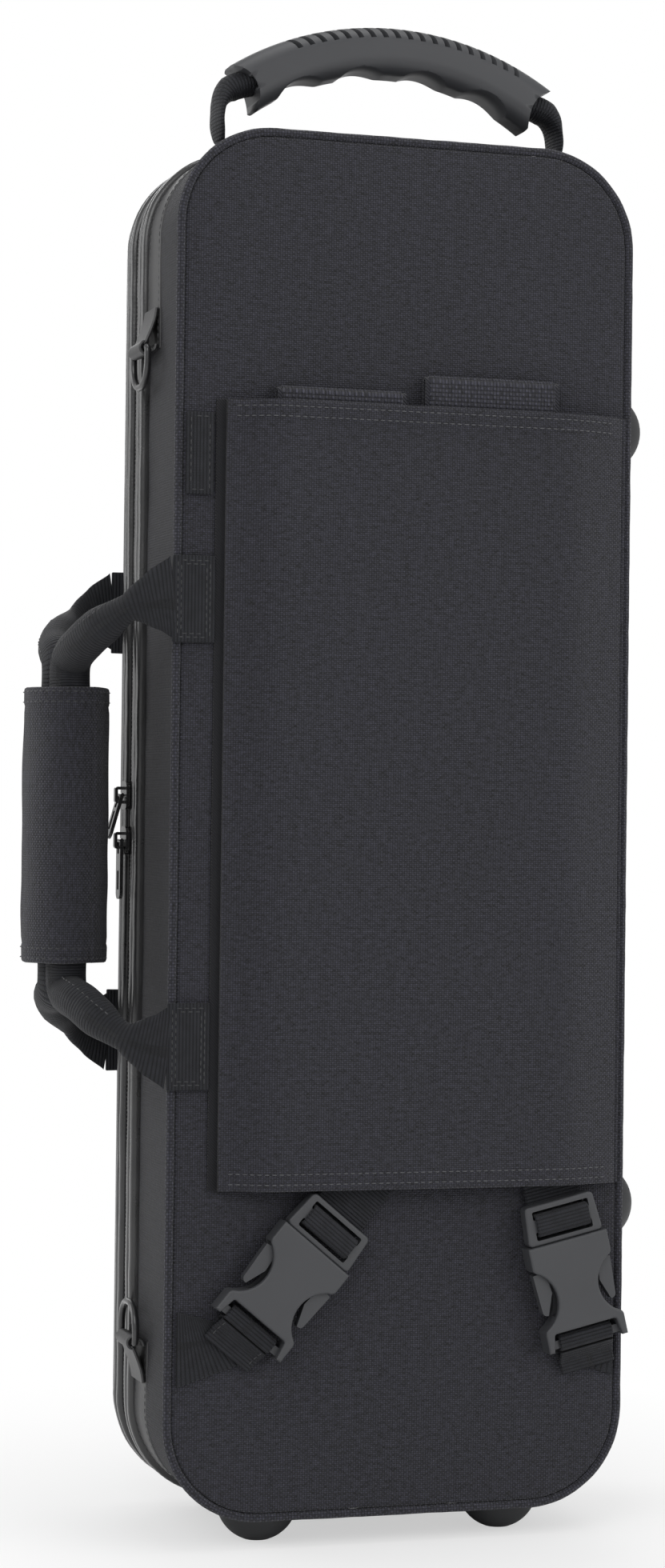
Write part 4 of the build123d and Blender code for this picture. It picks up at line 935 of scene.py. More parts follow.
def cut_away(piece, form):
    """Cuts a form out of a piece."""
    bmesh.ops.recalc_face_normals(form, faces=form.faces)
    tool = mesh_object("cutter", form)
    cut = piece.modifiers.new("cut", "BOOLEAN")
    cut.object = tool
    cut.solver = "EXACT"
    bpy.context.view_layer.update()
    ready = bpy.data.meshes.new_from_object(piece.evaluated_get(bpy.context.evaluated_depsgraph_get()))
    piece.modifiers.clear()
    piece.data = ready
    bpy.data.objects.remove(tool)


# Plain shapes and paths for the sewn parts

def islands(node, axis=2):
    """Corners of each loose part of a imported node, lowest first along an axis."""
    form = bmesh.new()
    form.from_mesh(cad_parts[node].data)
    bmesh.ops.remove_doubles(form, verts=form.verts, dist=0.05 * MM)
    left, found = set(form.verts), []
    while left:
        reach, group = [left.pop()], []
        while reach:
            vert = reach.pop()
            group.append(vert.co)
            for edge in vert.link_edges:
                other = edge.other_vert(vert)
                if other in left:
                    left.discard(other)
                    reach.append(other)
        found.append((Vector(min(co[i] for co in group) for i in range(3)),
                      Vector(max(co[i] for co in group) for i in range(3))))
    form.free()
    return sorted(found, key=lambda corners: corners[0][axis])


def soft_block(form, low, high, edge, cuts=(1, 1, 1), along=2):
    """Block facing along Y, with rounded edges and cuts for its ripples, its cloth running along an axis."""
    made = bmesh.ops.create_cube(form, size=1)["verts"]
    bmesh.ops.scale(form, vec=high - low, verts=made)
    bmesh.ops.translate(form, vec=(low + high) / 2, verts=made)
    edges = list({e for v in made for e in v.link_edges})
    verts = bmesh.ops.bevel(form, geom=edges, offset=edge, affect="EDGES", segments=3, profile=0.5,
                            material=-1)["verts"]
    faces = list({f for v in verts for f in v.link_faces})
    for axis, count in enumerate(cuts):
        faces = slice_flat(form, faces, axis, even_stops(low[axis], high[axis], count))
    layer = cloth_map(form)
    for face in faces:
        for loop in face.loops:
            co = loop.vert.co
            loop[layer].uv = co[along], co[2 - along] + co.y


def rounded_line(points, radius, steps=4):
    """Points along a line with rounded bends."""
    line = [points[0]]
    for before, point, after in zip(points, points[1:], points[2:]):
        back, on = before - point, after - point
        cut = min(radius, back.length * 0.48, on.length * 0.48)
        start, end = point + back.normalized() * cut, point + on.normalized() * cut
        for i in range(steps + 1):
            t = i / steps
            line.append(start * (1 - t)**2 + point * (2 * t * (1 - t)) + end * t**2)
    line.append(points[-1])
    return line


def even_line(points, step):
    """The same line with extra points on its long legs."""
    line = [points[0]]
    for a, b in zip(points, points[1:]):
        count = max(ceil((b - a).length / step), 1)
        line += [a + (b - a) * i / count for i in range(1, count + 1)]
    return line


def strip(form, points, half_width, thickness, across=8):
    """Webbing of even width along a line; half_width is a vector."""
    places = path_places(points, half_width)
    sweep(form, web_section(thickness, across), places)
    return places


def edge_stitches(form, places, out, side):
    """A stitch row near both edges of a strip."""
    rows = unit_places(places)
    for turn in (-1, 1):
        seam_row(form, rows, out, turn * side)


def box_seam(form, low, high, y, inset):
    """Sewn rectangle on a face across Y."""
    a, b = low.x + inset, high.x - inset
    c, d = low.z + inset, high.z - inset
    corners = [Vector((x, y, z)) for x, z in ((a, c), (b, c), (b, d), (a, d), (a, c))]
    for start, end in zip(corners, corners[1:]):
        seam_row(form, path_places([start, end], Vector((0, -1, 0))), 0, 0)


# Strap cover and what it holds

COVER_LOW, COVER_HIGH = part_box("strap_cover")
COVER_PLY = 2.4 * MM
STRAP_PLY = 3.8 * MM
WEB_HALF = 15 * MM
WEB_PLY = 1.5 * MM
BUCKLES = {"left": (-34, 170, -130.2), "right": (83, 175.5, -76.8)}     # x, z in millimetres, heading
BUCKLE_GAP = 2.2 * MM


def cover_line(lift):
    """Cross line of the strap cover, raised by a lift: flat edges and a crown over the straps."""
    low = FRONT_Y - 1.4 * MM - lift
    high = COVER_LOW.y + 3.1 * MM - lift
    slope = 14 * MM
    rise, fall = COVER_LOW.x + 22 * MM, COVER_HIGH.x - 29.2 * MM
    points = [(COVER_LOW.x, low), (rise - slope, low), (rise, high), (fall, high), (COVER_HIGH.x, low + MM)]
    line = rounded_line([Vector((x, y, 0)) for x, y in points], radius=9 * MM)
    return even_line(line, step=7 * MM)


def make_strap_cover():
    """Cover flap with folded hems, two stitch rows in each, and a soft crown between them."""
    form, seam = new_form(), new_form()
    inner, outer = cover_line(0), cover_line(COVER_PLY)
    section = [(p.x, p.y) for p in inner] + [(p.x, p.y) for p in reversed(outer)]
    z0, z1 = COVER_LOW.z, COVER_HIGH.z
    hem, step, face = 9 * MM, 0.6 * MM, 3 * MM
    near_edge = [0, 0.5 * MM, 2 * MM, hem - MM, hem, hem + MM]
    stops = [z0 + rise for rise in near_edge] + even_stops(z0 + hem, z1 - hem, 46)
    stops += [z1 - rise for rise in reversed(near_edge)]
    sweep(form, section, [(Matrix.Translation((0, 0, z)), z - z0) for z in stops])
    write_map(form, turned=True)
    middle = (COVER_LOW.x + COVER_HIGH.x) / 2
    half = (COVER_HIGH.x - COVER_LOW.x) / 2
    sag, sag_size, pucker, pucker_size, pucker_reach = 0.5 * MM, 70 * MM, 0.22 * MM, 5.5 * MM, 34 * MM
    for vert in form.verts:
        edge = min(vert.co.z - z0, z1 - vert.co.z)
        in_hem = clamp((1.2 - edge / hem) * 8) * min(edge / step + 0.4, 1)
        if vert.co.y < FRONT_Y - face and vert.normal.y < 0.5:
            vert.co.y -= step * in_hem
            swell = max(1 - ((vert.co.x - middle) / half)**2, 0) * (1 - in_hem)
            vert.co.y += sag * noise.noise(vert.co / sag_size) * swell
            vert.co.y -= pucker * sin(vert.co.x / pucker_size) * max(1 - edge / pucker_reach, 0)
    piece = finished(form, "cover_flap", "cover", "strap_cover", ["strap_cover"], sharp=50)
    front = [Vector((p.x, p.y - 0.8 * MM, 0)) for p in outer][1:-1]
    for z in (z0 + 3.4 * MM, z0 + 8.6 * MM, z1 - 3.4 * MM, z1 - 8.6 * MM):
        line = moved(front, z=z)
        seam_row(seam, path_places(line, Vector((0, 0, 1))), 0, 0)
    sewn(seam, "cover_flap_stitches", "strap_cover", "thread")


def make_cover_edges():
    """Hook strip under the free edge and the sewn edge on the hinged side."""
    for node, name, finish, slot in (("strap_cover_hook_strip", "hook_strip", "hook", "hook_tape"),
                                     ("strap_cover_seam", "cover_seam", "cover", "panel_cover")):
        form = new_form()
        soft_block(form, *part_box(node), edge=0.25 * MM, cuts=(1, 1, 20))
        finished(form, name, finish, "tray", [node])


def hairpin(low_z, high_z, near, ply, back_end):
    """Line of a strap folded at its top, from the front ply's foot over to the back ply."""
    top, radius = high_z - ply, ply / 2
    line = [Vector((0, near - 1.5 * ply, low_z + (top - low_z) * i / 24)) for i in range(25)]
    line += [Vector((0, near - ply - radius * cos(pi * i / 8), top + radius * sin(pi * i / 8)))
             for i in range(1, 9)]
    line += [Vector((0, near - 0.5 * ply, top + (back_end - top) * i / 12)) for i in range(1, 13)]
    return line


def make_shoulder_strap(node, name):
    """Padded shoulder strap folded in half."""
    low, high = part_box(node)
    half = Vector(((high.x - low.x) / 2, 0, 0))
    form = new_form()
    line = moved(hairpin(low.z, high.z, high.y, STRAP_PLY, low.z), (low.x + high.x) / 2)
    strip(form, line, half, STRAP_PLY * 0.9, across=12)
    write_map(form)
    ripple(form, amount=0.2 * MM, size=15 * MM)
    finished(form, name, "mesh", "tray", [node])


def make_strap_trim():
    """Bindings along the shoulder straps' edges and ribbons down their middles."""
    bind, ribbon, seam = new_form(), new_form(), new_form()
    bind_half, bind_in, bind_out, lift, seam_side = 5.2 * MM, 3.7 * MM, 0.7 * MM, 0.45 * MM, 3.6 * MM
    for hand in ("left", "right"):
        node = "shoulder_strap_" + hand
        make_shoulder_strap(node, hand + "_strap_pad")
        low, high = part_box(node)
        outer = hairpin(low.z + 5 * MM, high.z + 2 * lift, high.y + lift, STRAP_PLY + 2 * lift,
                        high.z - 30 * MM)
        outer = [p + Vector((0, lift if p.y < high.y - STRAP_PLY else -lift, 0)) for p in outer]
        for x, side in ((low.x + bind_in, 1), (high.x - bind_in, -1)):
            places = strip(bind, moved(outer, x), Vector((bind_half, 0, 0)), thickness=1.3 * MM, across=4)
            seam_row(seam, unit_places(places), -bind_out, side * seam_side)
        middle = (low.x + high.x) / 2
        strip(ribbon, moved(outer, middle), Vector((WEB_HALF, 0, 0)), thickness=1.2 * MM)
    write_map(bind)
    write_map(ribbon)
    finished(bind, "bindings", "binding", "tray", ["strap_bindings"])
    finished(ribbon, "ribbons", "ribbon", "tray", ["strap_ribbons"])
    sewn(seam, "binding_stitches", "tray", "thread")


def buckle_matrix(hand):
    """Frame of a buckle: across, along from the adjuster's end, and out of the panel."""
    x, z, heading = BUCKLES[hand]
    along = Vector((cos(radians(heading)), 0, sin(radians(heading))))
    out = Vector((0, -1, 0))
    return axes_at(Vector((x * MM, FRONT_Y - BUCKLE_GAP, z * MM)), along.cross(out), along, out)


def buckle_line(matrix, points, bend):
    """Line in a buckle's frame through places along it and out of it, in millimetres, with rounded bends."""
    line = rounded_line([Vector((0, a, b)) * MM for a, b in points], bend)
    return [matrix @ p for p in even_line(line, 4 * MM)]


def make_adjust_webs():
    """Webbing from under the strap cover, woven through each adjuster."""
    form = new_form()
    for hand in BUCKLES:
        matrix = buckle_matrix(hand)
        woven = ((-26, 0.2), (-8, 0.8), (5.4, 0.8), (5.2, 10.2), (15.7, 10.2), (15.4, 0.8))
        line = buckle_line(matrix, woven, 1.8 * MM)
        strip(form, line, matrix.to_3x3() @ Vector((WEB_HALF, 0, 0)), WEB_PLY, across=10)
    write_map(form)
    finished(form, "adjust_webs", "webbing", "tray", ["strap_adjust_webs"])


def make_anchor_webs():
    """Webbing from the side seams, flat on the panel and round each tail bar."""
    form, seam = new_form(), new_form()
    for hand, side, z0, z1 in (("left", -1, 84, 122.5), ("right", 1, 82, 115)):
        matrix = buckle_matrix(hand)
        across = matrix.to_3x3() @ Vector((WEB_HALF, 0, 0))
        if across.z < 0:
            across.negate()
        start = Vector((side * 117.8 * MM, FRONT_Y - 0.9 * MM, (z0 + z1) / 2 * MM))
        edge = Vector((0, 0, (z1 - z0) / 2 * MM))
        foot = matrix @ (Vector((0, 82, -1.2)) * MM)
        round_bar = ((79, -1.25), (77.1, -1.25), (77.1, 7.7), (69.8, 7.7), (69.8, -1.25), (74, -1.25))
        turns = buckle_line(matrix, round_bar, 2.2 * MM)[1:]
        line = [start.lerp(foot, i / 8) for i in range(9)] + turns
        widths = [edge.lerp(across, i / 8) for i in range(9)] + [across] * len(turns)
        sweep(form, web_section(WEB_PLY), path_places(line, widths))
        tail = [matrix @ (Vector((0, a, b)) * MM) for a, b in ((78.2, 6.2), (84, 1.4), (91, 0.6))]
        places = strip(form, even_line(tail, 3 * MM), across, thickness=1.4 * MM, across=10)
        edge_stitches(seam, places, out=0.8 * MM, side=WEB_HALF - 2.5 * MM)
    write_map(form)
    finished(form, "anchor_webs", "webbing", "tray", ["buckle_anchor_webs"])
    sewn(seam, "anchor_web_stitches", "tray")


def make_webbing_tab():
    """Short webbing tab sewn beside the strap cover."""
    low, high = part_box("webbing_tab")
    form, seam = new_form(), new_form()
    soft_block(form, low, high, edge=0.5 * MM, cuts=(3, 1, 10), along=0)
    ripple(form, amount=0.2 * MM, size=8 * MM)
    finished(form, "side_tab", "webbing", "tray", ["webbing_tab"])
    box_seam(seam, low, high, low.y, inset=2.2 * MM)
    sewn(seam, "side_tab_stitches", "tray")


# Carry handles

GRIP_LOW, GRIP_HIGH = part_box("tray_handle_grip")
GRIP_X = (GRIP_LOW.x + GRIP_HIGH.x) / 2


def make_handle(holder, side):
    """Half of the side handle: sewn patches, folded webbing tubes, half of the grip wrap."""
    handle = holder + "_handle"
    patch, seam, tubes, fold_seam = new_form(), new_form(), new_form(), new_form()
    for (low, high), turn in zip(islands(handle + "_patches"), (1, -1)):
        soft_block(patch, low, high, edge=0.6 * MM, cuts=(3, 1, 8), along=0)
        for inset in (2.6 * MM, 4.4 * MM):
            box_seam(seam, low, high, low.y if side < 0 else high.y, inset)
        handle_tube(tubes, fold_seam, side, (low.z + high.z) / 2, turn)
    ripple(patch, amount=0.25 * MM, size=12 * MM)
    finished(patch, holder + "_grip_patches", "webbing", holder, [handle + "_patches"])
    sewn(seam, holder + "_grip_patch_stitches", holder)
    write_map(tubes)
    ripple(tubes, amount=0.35 * MM, size=14 * MM)
    finished(tubes, holder + "_grip_tubes", "webbing", handle, [handle + "_straps"])
    sewn(fold_seam, holder + "_grip_tube_stitches", handle)
    make_grip_wrap(holder, side)


def handle_tube(form, seam, side, z, turn):
    """Webbing that leaves the patch flat, folds to a neck and runs as a tube into the wrap."""
    patch_x, patch_y = -HALF_W - 5.3 * MM, side * (-FRONT_Y + 1.1 * MM)
    grip_end = GRIP_LOW.z if turn > 0 else GRIP_HIGH.z
    # millimetres away from the wall, in from the face and towards the wrap
    points = [Vector((patch_x - out * MM, patch_y - side * into * MM, z + turn * along * MM))
              for out, into, along in ((-1.6, 0, 0), (9, 1.5, 1.5), (22, 8, 6), (36, 32, 20))]
    points += [Vector((GRIP_X, side * 11.5 * MM, grip_end + turn * reach * MM)) for reach in (-13, 10)]
    line = smooth_path(points, per_leg=9)
    neck_at, full_at = 24 * MM, 46 * MM
    flat_w, neck_w, flat_t, neck_t, tube_r = 21.8 * MM, 7.2 * MM, 1.2 * MM, 5.2 * MM, 10.4 * MM
    places, run, wide = [], 0, Vector((0, 0, 1))
    for i, point in enumerate(line):
        ahead = (line[min(i + 1, len(line) - 1)] - line[max(i - 1, 0)]).normalized()
        wide = (wide - ahead * wide.dot(ahead)).normalized()
        if i:
            run += (point - line[i - 1]).length
        fold = clamp(run / neck_at)
        swell = clamp((run - neck_at) / (full_at - neck_at))
        swell = swell * swell * (3 - 2 * swell)
        half_w = flat_w * (1 - fold) + neck_w * fold + (tube_r - neck_w) * swell
        half_t = flat_t * (1 - fold) + neck_t * fold + (tube_r - neck_t) * swell
        out = wide.cross(ahead).normalized()
        places.append((axes_at(point, out * half_t, wide * half_w, ahead), run))
    sweep(form, ring_section(1, 1, 22), places)
    seam_row(seam, unit_places(places[20:-8]), -side * 8.2 * MM, 6.4 * MM)


def make_grip_wrap(holder, side):
    """Half of the padded grip wrap with its hems and stitches; the tray's half has a closing flap."""
    node, body = holder + "_handle_grip", holder + "_handle"
    form, seam = new_form(), new_form()
    low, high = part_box(node)
    inset, gap, steps, face_steps = 0.8 * MM, 0.25 * MM, 20, 8
    half_x = (high.x - low.x) / 2 - inset
    half_y = max(abs(low.y), abs(high.y)) - inset
    flap, flap_step, flap_rise = steps * 0.66, 0.12, 1.05
    shares = [*range(steps + 1)]
    if side < 0:
        shares = sorted([*shares, flap, flap + flap_step])
    arc = []
    for i in shares:
        rise = flap_rise if side < 0 and i > flap else 1
        arc.append((-half_x * cos(pi * i / steps) * rise,
                    side * (gap + (half_y - gap) * sin(pi * i / steps) * rise)))
    rim = len(arc)
    arc += [(x, side * gap) for x in even_stops(half_x, -half_x, face_steps)]
    hem, length = 9 * MM, high.z - low.z
    end = [(0, 0.95), (0.5 * MM, 0.985), (1.6 * MM, 1.0), (hem - 1.2 * MM, 1.004), (hem, 0.995),
           (hem + 0.6 * MM, 0.985), (hem + 4 * MM, 1.0)]
    body_steps = 22
    stops = even_stops(hem + 4 * MM, length - hem - 4 * MM, body_steps)
    middle = [(z, 1 + 0.012 * sin(pi * (i + 1) / body_steps)) for i, z in enumerate(stops)]
    rows = end + middle + [(length - z, scale) for z, scale in reversed(end)]
    sweep(form, arc, [(Matrix.Translation((GRIP_X, 0, low.z + z)) @ Matrix.Diagonal((s, s, 1, 1)), z)
                      for z, s in rows])
    write_map(form)
    ripple(form, amount=0.7 * MM, size=24 * MM, where=lambda co: abs(co.y) > 2 * MM, seed=side * 3.0)
    piece = finished(form, holder + "_grip_wrap", "grip", body, [node], sharp=50)
    proud = 1.006
    for z in (low.z + 2.4 * MM, low.z + 7.6 * MM, high.z - 2.4 * MM, high.z - 7.6 * MM):
        line = [Vector((GRIP_X + proud * a, proud * b, z)) for a, b in arc[1:rim - 1]]
        seam_row(seam, path_places(line, Vector((0, 0, 1))), 0, 0)
    sewn(seam, holder + "_grip_wrap_stitches", body)


def make_end_handle():
    """Sewn patches, webbing straps and moulded grip of the end handle."""
    low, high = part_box("end_handle_patches")
    middle = (low.y + high.y) / 2
    form, seam, straps = new_form(), new_form(), new_form()
    ply, seam_in, inner_x = 2.4 * MM, 2.5 * MM, high.x - 19.5 * MM
    for side in (-1, 1):
        places = outline_places(*sorted((-side * run_to_x(inner_x), -side * run_to_x(high.x))), 2 * MM)
        sweep(form, rounded_section(0, ply, low.y, high.y, radius=0.8 * MM, steps=2), places)
        for y in (low.y + seam_in, high.y - seam_in):
            seam_row(seam, places, ply, y)
    write_map(form)
    finished(form, "end_patches", "webbing", "tray", ["end_handle_patches"])
    sewn(seam, "end_patch_stitches", "tray")
    half, bundle, narrower, fold_from, fold_over = 12.4 * MM, 4.4 * MM, 2.4 * MM, 0.42, 0.3
    for (a, b), side in zip(islands("end_handle_straps", 0), (-1, 1)):
        outer = max(abs(a.x), abs(b.x))
        points = [(4.3 * MM, a.z + 0.6 * MM), (2.4 * MM, a.z + 13 * MM), (4.2 * MM, b.z - 15 * MM),
                  (9.5 * MM, b.z - 8.5 * MM), (20 * MM, b.z - 5 * MM)]
        line = smooth_path([Vector((side * (outer - into), middle, z)) for into, z in points], per_leg=7)
        places = path_places(line, Vector((0, 1, 0)))
        shaped = []
        for place, run in places:
            fold = clamp((run / places[-1][1] - fold_from) / fold_over)
            foot = max(1 - (1 - min(run / half, 1))**2, 0.02)**0.5
            size = Matrix.Diagonal((ply + bundle * fold, half * foot - narrower * fold, 1, 1))
            shaped.append((place @ size, run))
        sweep(straps, ring_section(1, 1), shaped)
    write_map(straps)
    ripple(straps, amount=0.3 * MM, size=7 * MM)
    finished(straps, "end_straps", "webbing", "end_handle", ["end_handle_straps"])
    make_end_grip(middle)


def make_end_grip(middle):
    """The moulded grip with its slots run out over both long edges."""
    slots, pitch_share, turned, crest_rise = 19, 0.0807, radians(28), 26 * MM
    slot_size = Matrix.Diagonal((2.6 * MM, 60 * MM, 13.6 * MM, 1))
    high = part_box("end_handle_grip")[1]
    form = new_form()
    form.from_mesh(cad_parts["end_handle_grip"].data)
    piece = finished(form, "end_grip", "grip_moulding", "end_handle", ["end_handle_grip"])
    radius = (high.x**2 + crest_rise**2) / (2 * crest_rise)
    cutter = bmesh.new()
    for i in range(slots):
        turn = (i - slots // 2) * pitch_share * high.x / radius
        place = Matrix.Translation((radius * sin(turn), middle, high.z - radius * (1 - cos(turn))))
        place = place @ Matrix.Rotation(turn, 4, "Y") @ Matrix.Rotation(turned, 4, "Z")
        bmesh.ops.create_cube(cutter, size=1, matrix=place @ slot_size)
    cut_away(piece, cutter)


def make_ring_tabs():
    """Leatherette tabs that hold the D-rings."""
    form, seam = new_form(), new_form()
    wall, bar_x, radius = -HALF_W - 1.8 * MM, -HALF_W - 8.2 * MM, 3.1 * MM
    for (low, high), turn, z in zip(islands("d_ring_tabs"), (1, -1), (100 * MM, 615 * MM)):
        middle, half = (low.y + high.y) / 2, (high.y - low.y) / 2
        # how far each end of the tab stands off the wall, and where it is along the case
        ends = [Vector((wall - out * MM, middle, z + turn * along * MM))
                for out, along in ((0.9, -21), (2.2, -14), (2.2, 1.2), (0.9, -2))]
        bend = [Vector((bar_x - radius * sin(pi * i / 8), middle, z - turn * radius * cos(pi * i / 8)))
                for i in range(9)]
        line = smooth_path(ends[:2] + bend + ends[2:], per_leg=3)
        places = strip(form, line, Vector((0, half, 0)), thickness=1.7 * MM, across=6)
        edge_stitches(seam, places[:14], out=0, side=half - 2 * MM)
    write_map(form)
    finished(form, "ring_tabs", "band", "tray", ["d_ring_tabs"])
    sewn(seam, "ring_tab_stitches", "tray")


# Lining and pocket

def horn_loop():
    """Outline of the instrument's recess: bell, keywork and neck, with rounded steps."""
    middle = -42
    steps = ((49, 44, 106), (39, 106, 560), (26, 560, 690))
    right = [(half, z) for half, *heights in steps for z in heights]
    corners = [Vector((middle + half, 0, z)) * MM for half, z in right]
    corners += [Vector((middle - half, 0, z)) * MM for half, z in reversed(right)]
    points = []
    for i, point in enumerate(corners):
        before, after = corners[i - 1], corners[(i + 1) % len(corners)]
        points += rounded_line([before, point, after], radius=8 * MM, steps=5)[1:-1]
    return points


def make_lining():
    """Floor pad, cradle with its recesses, and the pad in the lid."""
    low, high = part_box("tray_floor_pad")
    half_x, half_z = high.x, (high.z - low.z) / 2
    shape = half_x, half_z, (0, MID_Z), CORNER_R - 8.8 * MM
    form = new_form()
    padded_sheet(form, *shape, low.y, high.y, edge=2 * MM, crown=0)
    write_map(form, across_y)
    finished(form, "floor_pad", "lining", "tray", ["tray_floor_pad"])
    low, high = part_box("lid_pad")
    form = new_form()
    padded_sheet(form, *shape, high.y, low.y, edge=4 * MM, crown=0)
    ripple(form, amount=0.8 * MM, size=50 * MM, where=lambda co: co.y < low.y + 3 * MM)
    write_map(form, across_y)
    finished(form, "lid_cushion", "lining", "lid", ["lid_pad"])
    make_cradle(*shape)


def make_cradle(half_x, half_z, centre, radius):
    """Foam cradle: plush face with rounded rims down into every recess."""
    low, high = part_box("instrument_cradle")
    box_x, box_half, box_r, rim_r = 67.5 * MM, 33.5 * MM, 8 * MM, 2.2 * MM
    form = new_form()
    loops = [rounded_loop(half_x, half_z, centre, radius, count=8), horn_loop()]
    loops += [rounded_loop(box_half, (z1 - z0) / 2 * MM, (box_x, (z0 + z1) / 2 * MM), box_r)
              for z0, z1 in ((60, 380), (402, 512), (534, 676))]
    rim = []
    for loop in loops:
        verts = [form.verts.new((p.x, high.y, p.z)) for p in loop]
        rim += [form.edges.new((verts[i - 1], verts[i])) for i in range(len(verts))]
    bmesh.ops.triangle_fill(form, use_beauty=True, use_dissolve=False, edges=rim, normal=(0, 1, 0))
    made = bmesh.ops.extrude_edge_only(form, edges=rim)["geom"]
    verts = [item for item in made if isinstance(item, bmesh.types.BMVert)]
    bmesh.ops.translate(form, vec=(0, low.y - high.y, 0), verts=verts)
    bmesh.ops.bevel(form, geom=rim, offset=rim_r, affect="EDGES", segments=3, profile=0.5, material=-1)
    write_map(form, across_y)
    piece = finished(form, "cradle", "lining", "tray", ["instrument_cradle"], sharp=60)


def make_pocket():
    """Padded document pocket on the lid, with its zip."""
    low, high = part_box("lid_pocket")
    zip_low, zip_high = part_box("lid_pocket_zip")
    zip_z = (zip_low.z + zip_high.z) / 2
    corner, edge, sunk, seam_in = 26 * MM, 4 * MM, 2.4 * MM, 4.5 * MM
    half_x, half_z, centre = high.x, (high.z - low.z) / 2, (0, (low.z + high.z) / 2)
    form, tape, coil, seam = new_form(), new_form(), new_form(), new_form()
    live = padded_sheet(form, half_x, half_z, centre, corner, low.y, high.y, edge, crown=0)
    live = slice_flat(form, live, 2, [zip_z + rise * MM for rise in (-6.5, -5.6, 5.6, 6.5)])
    live = slice_flat(form, live, 0, [x + side * out * MM for x, side in ((zip_low.x, -1), (zip_high.x, 1))
                                      for out in (0.1, 0.9)])
    for vert in corners_of(live):
        if abs(vert.co.z - zip_z) < 5.7 * MM and zip_low.x - 0.2 * MM < vert.co.x < zip_high.x + 0.2 * MM:
            vert.co.y -= sunk
        else:
            vert.co.y += 0.5 * MM * noise.noise(vert.co / (60 * MM))
    write_map(form, across_y)
    finished(form, "pocket", "cover", "lid", ["lid_pocket"])
    floor = high.y - sunk
    line = [Vector((x, floor + 1.5 * MM, zip_z)) for x in (zip_low.x, zip_high.x)]
    places = stretched(path_places(line, Vector((0, 0, 1))), 2, 3.4)
    for turn in (-1, 1):
        stitch_row(coil, places, 0, turn * 0.32 * MM, stitch=0.9 * MM, thread=0.45 * MM, gap=0.5)
    write_map(coil)
    zip_low.y, zip_high.y = floor, floor + 0.8 * MM
    soft_block(tape, zip_low, zip_high, edge=0.2 * MM)
    finished(tape, "pocket_tape", "tape", "lid", ["lid_pocket_zip"])
    finished(coil, "pocket_coil", "coil", "lid")
    loop = rounded_loop(half_x - seam_in, half_z - seam_in, centre, corner - 4 * MM, high.y + 0.1 * MM, 8)
    loop += loop[:1]
    seam_row(seam, path_places(loop, Vector((0, 1, 0))), 0, 0)
    sewn(seam, "pocket_stitches", "lid", "thread")


# The stage

def camera_only(tree, seen, rest, bright, output):
    """Shows one shader where a share is 1, as on the camera's own rays, and another elsewhere."""
    mix = tree.nodes.new("ShaderNodeMixShader")
    tree.links.new(seen, mix.inputs["Fac"])
    tree.links.new(rest, mix.inputs[1])
    tree.links.new(bright, mix.inputs[2])
    tree.links.new(mix.outputs[0], tree.nodes[output].inputs["Surface"])


def make_stage():
    """Pale floor and soft studio light."""
    form = new_form()
    bmesh.ops.create_circle(form, cap_ends=True, segments=96, radius=7)
    floor = mesh_object("floor", form)
    floor.data.materials.append(floor_finish())
    world = bpy.data.worlds.new("studio")
    world.use_nodes = True
    bpy.context.scene.world = world
    tree = world.node_tree
    soft = tree.nodes["Background"]
    bright = tree.nodes.new("ShaderNodeBackground")
    for shader in (soft, bright):
        shader.inputs["Color"].default_value = (1, 1, 1, 1)
    soft.inputs["Strength"].default_value = 0.55
    rays = tree.nodes.new("ShaderNodeLightPath")
    camera_only(tree, rays.outputs["Is Camera Ray"], soft.outputs[0], bright.outputs[0], "World Output")
    for name, at, towards_x, size, power in (
            ("key", (-1.5, -2.0, 1.9), 0, 1.6, 22), ("fill", (1.7, -2.1, 1.2), 0, 1.8, 21),
            ("rim", (-1.6, 0.9, 0.9), -0.1, 1.2, 9), ("far", (0.6, 2.2, 1.6), 0, 1.8, 16),
            ("top", (0.1, -0.2, 2.6), 0, 1.4, 14)):
        lamp(name, Vector(at), Vector((towards_x, 0, 0.4)), size, power)


def floor_finish():
    """Pale floor that is plain white to the camera away from the case."""
    material, tree, shader = finish_base("floor", (0.86, 0.86, 0.86), roughness=0.9)
    length = tree.nodes.new("ShaderNodeVectorMath")
    length.operation = "LENGTH"
    tree.links.new(tree.nodes.new("ShaderNodeTexCoord").outputs["Object"], length.inputs[0])
    reach = tree.nodes.new("ShaderNodeMapRange")
    for socket, value in (("From Min", 0.15), ("From Max", 0.45), ("To Min", 0.55)):
        reach.inputs[socket].default_value = value
    tree.links.new(length.outputs["Value"], reach.inputs["Value"])
    rays = tree.nodes.new("ShaderNodeLightPath")
    seen = maths(tree, "MULTIPLY", reach.outputs[0], rays.outputs["Is Camera Ray"])
    white = tree.nodes.new("ShaderNodeEmission")
    camera_only(tree, seen, shader.outputs[0], white.outputs[0], "Material Output")
    return material


def lamp(name, at, towards, size, power):
    """Soft square lamp."""
    light = bpy.data.lights.new(name, "AREA")
    light.size = size
    light.energy = power
    item = linked(name, light)
    item.location = at
    item.rotation_euler = (towards - at).to_track_quat("-Z", "Y").to_euler()


def make_camera():
    """Camera at the photograph's viewing angle."""
    camera = bpy.data.cameras.new("camera")
    camera.sensor_fit = "VERTICAL"
    camera.sensor_height = SENSOR_MM
    camera.lens = FOCAL_PX / PHOTO_H * SENSOR_MM
    camera.clip_start = 0.05
    view = linked("camera", camera)
    view.matrix_world = axes_at(CAMERA_AT, CAMERA_RIGHT, CAMERA_UP, CAMERA_RIGHT.cross(CAMERA_UP))
    bpy.context.scene.camera = view


